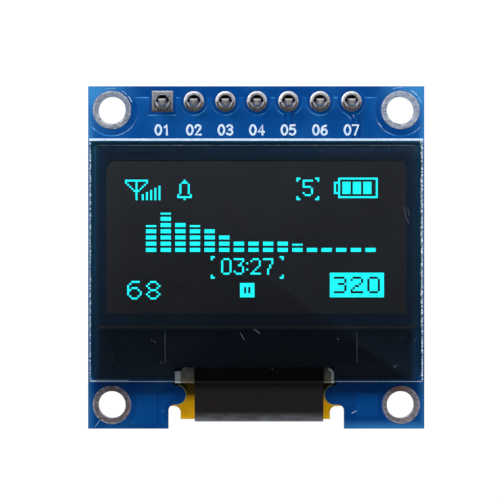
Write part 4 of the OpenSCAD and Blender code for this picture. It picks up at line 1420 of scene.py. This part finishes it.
dust, dust_tree, dust_shader = new_finish("pale_dust", paint(150, 160, 168), 0.7, Alpha=0.55)
vary(dust_shader, Base_Color=mix(noise(dust_tree, 8.0, 2.0), paint(120, 130, 138), paint(190, 198, 204)))
relief(dust_shader, noise(dust_tree, 20.0, 2.0), 0.01)
glass_top, film_top = glass_high.z + 0.003, film_high.z + 0.003
GLASS_SPECKS = (
    (-8.38, -6.65, 0.035), (-8.1, -6.76, 0.03), (-7.6, -8.42, 0.03), (-9.94, -9.44, 0.03),
    (6.55, -6.54, 0.035), (11.1, -8.72, 0.055), (11.3, -8.66, 0.03), (12.7, -6.62, 0.03),
    (7.87, -5.97, 0.03),
)
FILM_SPECKS = ((11.8, 4.9, 0.04), (-6.1, 8.96, 0.06), (4.7, 8.95, 0.05), (10.6, 8.93, 0.045))
grains = [speck(x, y, glass_top, radius) for x, y, radius in GLASS_SPECKS]
grains += [speck(x, y, film_top, radius) for x, y, radius in FILM_SPECKS]
grains += scattered(FILM_DUST, -5.4, 8.6, film_top)
grains += scattered(GLASS_DUST, -9.6, -6.0, glass_top)
GLASS_HAIRLINES = (
    (0.008, [(-7.31, -5.95), (-7.29, -8.5)]),
    (0.008, [(8.07, -6.0), (8.08, -8.35)]),
    (0.025, [(-0.18, -5.78), (0.05, -5.9), (0.27, -6.1)]),
)
FILM_HAIRLINES = (
    (0.016, [(11.75, 4.15), (11.95, 3.4), (12.2, 2.7)]),
    (0.014, [(12.1, 4.0), (12.25, 3.3)]),
)
hairlines = [scratch(points, width, glass_top) for width, points in GLASS_HAIRLINES]
hairlines += [scratch(points, width, film_top) for width, points in FILM_HAIRLINES]
hairlines.append(scratch([(-1.3, -6.0), (-0.95, -6.6)], 0.016, glass_top))
add_piece("dust_and_hairlines", joined(*grains, *hairlines), dust)
# The pale finish of the nicks, also used for painted highlights round the upper holes and on a track.
nick_and_highlight_finish = grained("pale_nicks_and_highlights", paint(110, 158, 205), paint(200, 222, 240), 4.0, 0.005, 0.3, 0.5)
# Nicks in the lacquer; the last two strokes are painted highlights on the track by the seventh pad.
NICKS_AND_TRACK_HIGHLIGHTS = (
    (0.045, 0.006, [(7.70, -12.54), (8.02, -12.4), (8.30, -12.19)]),
    (0.03, 0.002, [(-12.55, -13.1), (-12.98, -13.62)]),
    (0.07, 0.004, [(7.82, 11.46), (7.98, 11.2)]),
    (0.06, 0.004, [(8.02, 11.22), (8.12, 11.05)]),
)
# Painted highlights: pale arcs round the two upper holes, as hole, radius, start, end, steps, width and rise.
PAINTED_RING_HIGHLIGHTS = (
    (0, 1.73, 62, 46, 5, 0.035, COPPER), (0, 1.73, 40, 22, 5, 0.06, COPPER),
    (0, 1.76, 108, 80, 6, 0.022, 0.003), (1, 1.80, 60, 42, 5, 0.06, 0.003),
    (1, 1.78, 36, 20, 5, 0.04, 0.003), (1, 1.82, 110, 84, 6, 0.022, 0.003),
    (1, 2.02, 222, 210, 5, 0.05, COPPER),
)
marks = [scratch(points, width, board_front + rise) for width, rise, points in NICKS_AND_TRACK_HIGHLIGHTS]
for hole, radius, start, end, steps, width, rise in PAINTED_RING_HIGHLIGHTS:
    ring_highlight = arc((holes[hole].x, holes[hole].y), radius, start, end, steps)
    marks.append(scratch(ring_highlight, width, board_front + rise))
marks.append(speck(-7.5, -12.4, board_front + 0.003, 0.11))
add_piece("lacquer_nicks_and_painted_highlights", joined(*marks), nick_and_highlight_finish)

# %% [markdown]
# ## Copper and print on the back
# The back is laid out like the front: shapes are built on the front face and turned over.
# Tracks run from the header past the chip parts to the flex's solder row, fields of copper
# with lacquered vias fill the sides, and each chip part has tinned lands and a printed frame.

# %% Copper on the back
def to_back(*shapes):
    """Turns shapes built on the front face over onto the back, at the same X and Y."""
    whole = joined(*shapes)
    bmesh.ops.scale(whole, vec=(1, 1, -1), verts=whole.verts)
    bmesh.ops.translate(whole, vec=(0, 0, board_front), verts=whole.verts)
    return whole


def via(x, y):
    """The lacquered ring of a via."""
    rings = [ring_outline((x, y), 0.32, 24), ring_outline((x, y), 0.12, 24)]
    return flat_shape(rings, board_front - COPPER - SUNK, copper_top + 0.012, 0.05)


capacitors = names_of("capacitor", 8)
resistors = names_of("resistor", 7)
chips = capacitors + resistors
tail_row = span("flex_solder_row")[1].y
lower_row = [n for n in chips if middle(n).y < 0]
upper_row = [n for n in resistors if middle(n).y > 0]
routes = [
    [(pads[0].x, pads[0].y), (pads[0].x, 10.3)],
    [(pads[1].x, pads[1].y), (pads[1].x, 3.6)],
    [(pads[2].x, pads[2].y), (pads[2].x, 10.9), (-3.0, 10.4), (-3.0, 3.6)],
    [(pads[3].x, pads[3].y), (pads[3].x, 9.8)],
    [(pads[4].x, pads[4].y), (pads[4].x, 5.6), (3.0, 5.2), (3.0, 3.6)],
    [(pads[5].x, pads[5].y), (pads[5].x, 5.2), (5.0, 5.06), (5.0, 3.6)],
    [(pads[6].x, pads[6].y), (pads[6].x, 11.0), (8.0, 10.6), (8.0, 10.0)],
    [(-8.95, 7.7), (-8.95, -5.2)], [(-7.05, 7.7), (-7.05, -5.2)], [(8.0, 7.9), (8.0, -5.2)],
    [(-2.0, 8.0), (-2.0, 6.3)], [(-4.0, 8.0), (-4.0, 6.3)], [(0.0, 8.0), (0.0, 6.3)],
    [(-1.0, 3.6), (-1.0, 5.0)], [(1.0, 3.6), (1.0, 5.0)],
]
routes += [[(middle(n).x, span(n)[0].y + 0.1), (middle(n).x, tail_row)] for n in upper_row + lower_row]
routes += [[(middle(n).x, span(n)[1].y - 0.1), (middle(n).x, span(n)[1].y + 0.7)] for n in lower_row]
vias = [via(middle(n).x, span(n)[1].y + 0.8) for n in lower_row]
vias += [via(x, 6.2) for x in (-4.0, -2.0, 0.0)] + [via(x, 5.1) for x in (-1.0, 1.0)]
SIDE_VIA_X = 11.6
SIDE_FIELD_X, SIDE_FIELD_END = ((-13.2, -10.1), (10.1, 13.2)), (-9.4, 9.3)
vias += [via(side * SIDE_VIA_X, y) for side in (-1, 1) for y in (-7.5, -4.0, -0.5, 3.0, 6.5)]
side_fields = [copper_shape(box_outline(x0, SIDE_FIELD_END[0], x1, SIDE_FIELD_END[1]))
               for x0, x1 in SIDE_FIELD_X]
add_piece("tracks_back", to_back(*[track(route) for route in routes]), copper_finish,
          crisp=CRISP)
add_piece("copper_fields_back", to_back(*side_fields), copper_finish, crisp=CRISP)
add_piece("vias_back", to_back(*vias), copper_finish)


# %% Lands under the chip parts
def land(x0, y0, x1, y1):
    """A tinned land, slightly domed."""
    return flat_shape([box_outline(x0, y0, x1, y1)], board_front - SUNK, copper_top + 0.01, 0.015)


def end_lands(node, reach, wide):
    """Lands under both ends of a part."""
    low, high = span(node)
    return [land(low.x - wide, low.y - 0.12, high.x + wide, low.y + reach),
            land(low.x - wide, high.y - reach, high.x + wide, high.y + 0.12)]


lands = [shape for node in chips for shape in end_lands(node, 0.5, 0.06)] + end_lands("diode", 0.6, -0.05)
regulator_low, regulator_high = span("regulator")
lead_y, LEAD_PITCH, LEAD_REACH, LEAD_HALF = middle("regulator").y, 0.95, 0.6, 0.36
lands.append(land(regulator_low.x - 0.1, lead_y - LEAD_HALF, regulator_low.x + LEAD_REACH,
                  lead_y + LEAD_HALF))
for y in (lead_y - LEAD_PITCH, lead_y + LEAD_PITCH):
    lands.append(land(regulator_high.x - LEAD_REACH, y - LEAD_HALF, regulator_high.x + 0.1, y + LEAD_HALF))
add_piece("lands_back", to_back(*lands), solder_metal)


# %% Print on the back
def printed_frame(x0, y0, x1, y1, line=0.13):
    """A printed rectangle."""
    outlines = [box_outline(x0 + gap, y0 + gap, x1 - gap, y1 - gap) for gap in (0, line)]
    return flat_shape(outlines, ink_low, copper_top + INK, INK_EDGE)


def number_behind(text, x, y, cap):
    """A number that reads the right way from behind."""
    shape = printed_number(text, (x, y), cap, 0.2 * cap, copper_top)
    bmesh.ops.translate(shape, vec=(-x, 0, 0), verts=shape.verts)
    bmesh.ops.scale(shape, vec=(-1, 1, 1), verts=shape.verts)
    bmesh.ops.translate(shape, vec=(x, 0, 0), verts=shape.verts)
    return shape


BACK_NUMBER_Y = 10.72
FRAME_X, FRAME_Y = 0.3, 0.34
prints = []
for node in chips + ["diode", "regulator"]:
    low, high = span(node)
    prints.append(printed_frame(low.x - FRAME_X, low.y - FRAME_Y, high.x + FRAME_X, high.y + FRAME_Y))
housing_low, housing_high = span("header_housing")
prints.append(printed_frame(housing_low.x - 0.25, housing_low.y - 0.25, housing_high.x + 0.25,
                            board_high.y - 0.02))
prints += [number_behind(f"0{i + 1}", pad.x + (0.62 if i == 6 else 0.66), BACK_NUMBER_Y, 0.5)
           for i, pad in enumerate(pads)]
prints += [number_behind(str(k + 1), middle(n).x + 1.0, middle(n).y, 0.62) for k, n in enumerate(upper_row)]
GRID_X, GRID_Y = (-6.4, -3.2, 0.0, 3.2, 6.4), (-0.95, 0.1, 1.15)
for x0, x1 in zip(GRID_X, GRID_X[1:]):
    for y0, y1 in zip(GRID_Y, GRID_Y[1:]):
        prints.append(printed_frame(x0, y0, x1 + 0.1, y1 + 0.1, 0.1))
        column, row = GRID_X.index(x0), GRID_Y.index(y0)
        prints.append(number_behind(f"{3 - column}{1 + row}", (x0 + x1) / 2, (y0 + y1) / 2 + 0.05, 0.56))
add_piece("print_back", to_back(*prints), ink)

# %% [markdown]
# ## Parts on the back
# Chip parts have tinned ends round a coloured body. One finish serves a whole row: the
# distance from the row's middle line tells metal from body, so no mesh has to be cut.

# %% Chip part finishes
def row_distance(tree, rows):
    """Distance along Y from the nearest row of parts."""
    y = along(tree, "Y")
    nearest = None
    for row in rows:
        gap = abs(y - row)
        nearest = gap if nearest is None else calc("MINIMUM", nearest, gap)
    return nearest


def chip_finish(name, dark, light, rows, body_half, rough):
    finish, tree, shader = new_finish(name, dark, rough)
    metal = ramp(row_distance(tree, rows), body_half, body_half + 0.03)
    grain = noise(tree, 10.0, 3.0)
    body = mix(grain, dark, light)
    tin = mix(grain, paint(186, 186, 184), paint(224, 224, 222))
    vary(shader,
         Base_Color=mix(metal, body, tin),
         Metallic=metal,
         Roughness=ramp(grain, 0.3, 0.7, rough - 0.08, rough + 0.1))
    relief(shader, grain, 0.01)
    return finish


capacitor_rows = sorted({round(middle(n).y, 3) for n in capacitors})
resistor_rows = sorted({round(middle(n).y, 3) for n in resistors})
dress(chip_finish("capacitor_ceramic", paint(150, 118, 84), paint(176, 142, 104), capacitor_rows, 0.36,
                  0.42), *capacitors)
dress(chip_finish("resistor_glaze", paint(22, 22, 24), paint(38, 38, 40), resistor_rows, 0.5, 0.35),
      *resistors)


def package_finish():
    finish, tree, shader = new_finish("moulded_package", paint(30, 30, 31), 0.5)
    leads = None
    for node, axis, body_half in (("regulator", "X", 0.66), ("diode", "Y", 0.8)):
        spot = middle(node)
        inside = calc("LESS_THAN", abs(along(tree, "X") - spot.x), 2.0)
        place = spot.x if axis == "X" else spot.y
        gap = abs(along(tree, axis) - place)
        metal = inside * ramp(gap, body_half, body_half + 0.02)
        leads = metal if leads is None else calc("MAXIMUM", leads, metal)
    grain = noise(tree, 12.0, 4.0)
    body = mix(grain, paint(24, 24, 25), paint(40, 40, 42))
    vary(shader,
         Base_Color=mix(leads, body, paint(214, 214, 210)),
         Metallic=leads,
         Roughness=ramp(grain, 0.3, 0.7, 0.35, 0.6))
    relief(shader, grain, 0.012)
    return finish


dress(package_finish(), "regulator", "diode")

# %% Sizes and finish
low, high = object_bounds()
print("finished box, mm:", [round(v / MM, 2) for v in (*low, *high)])
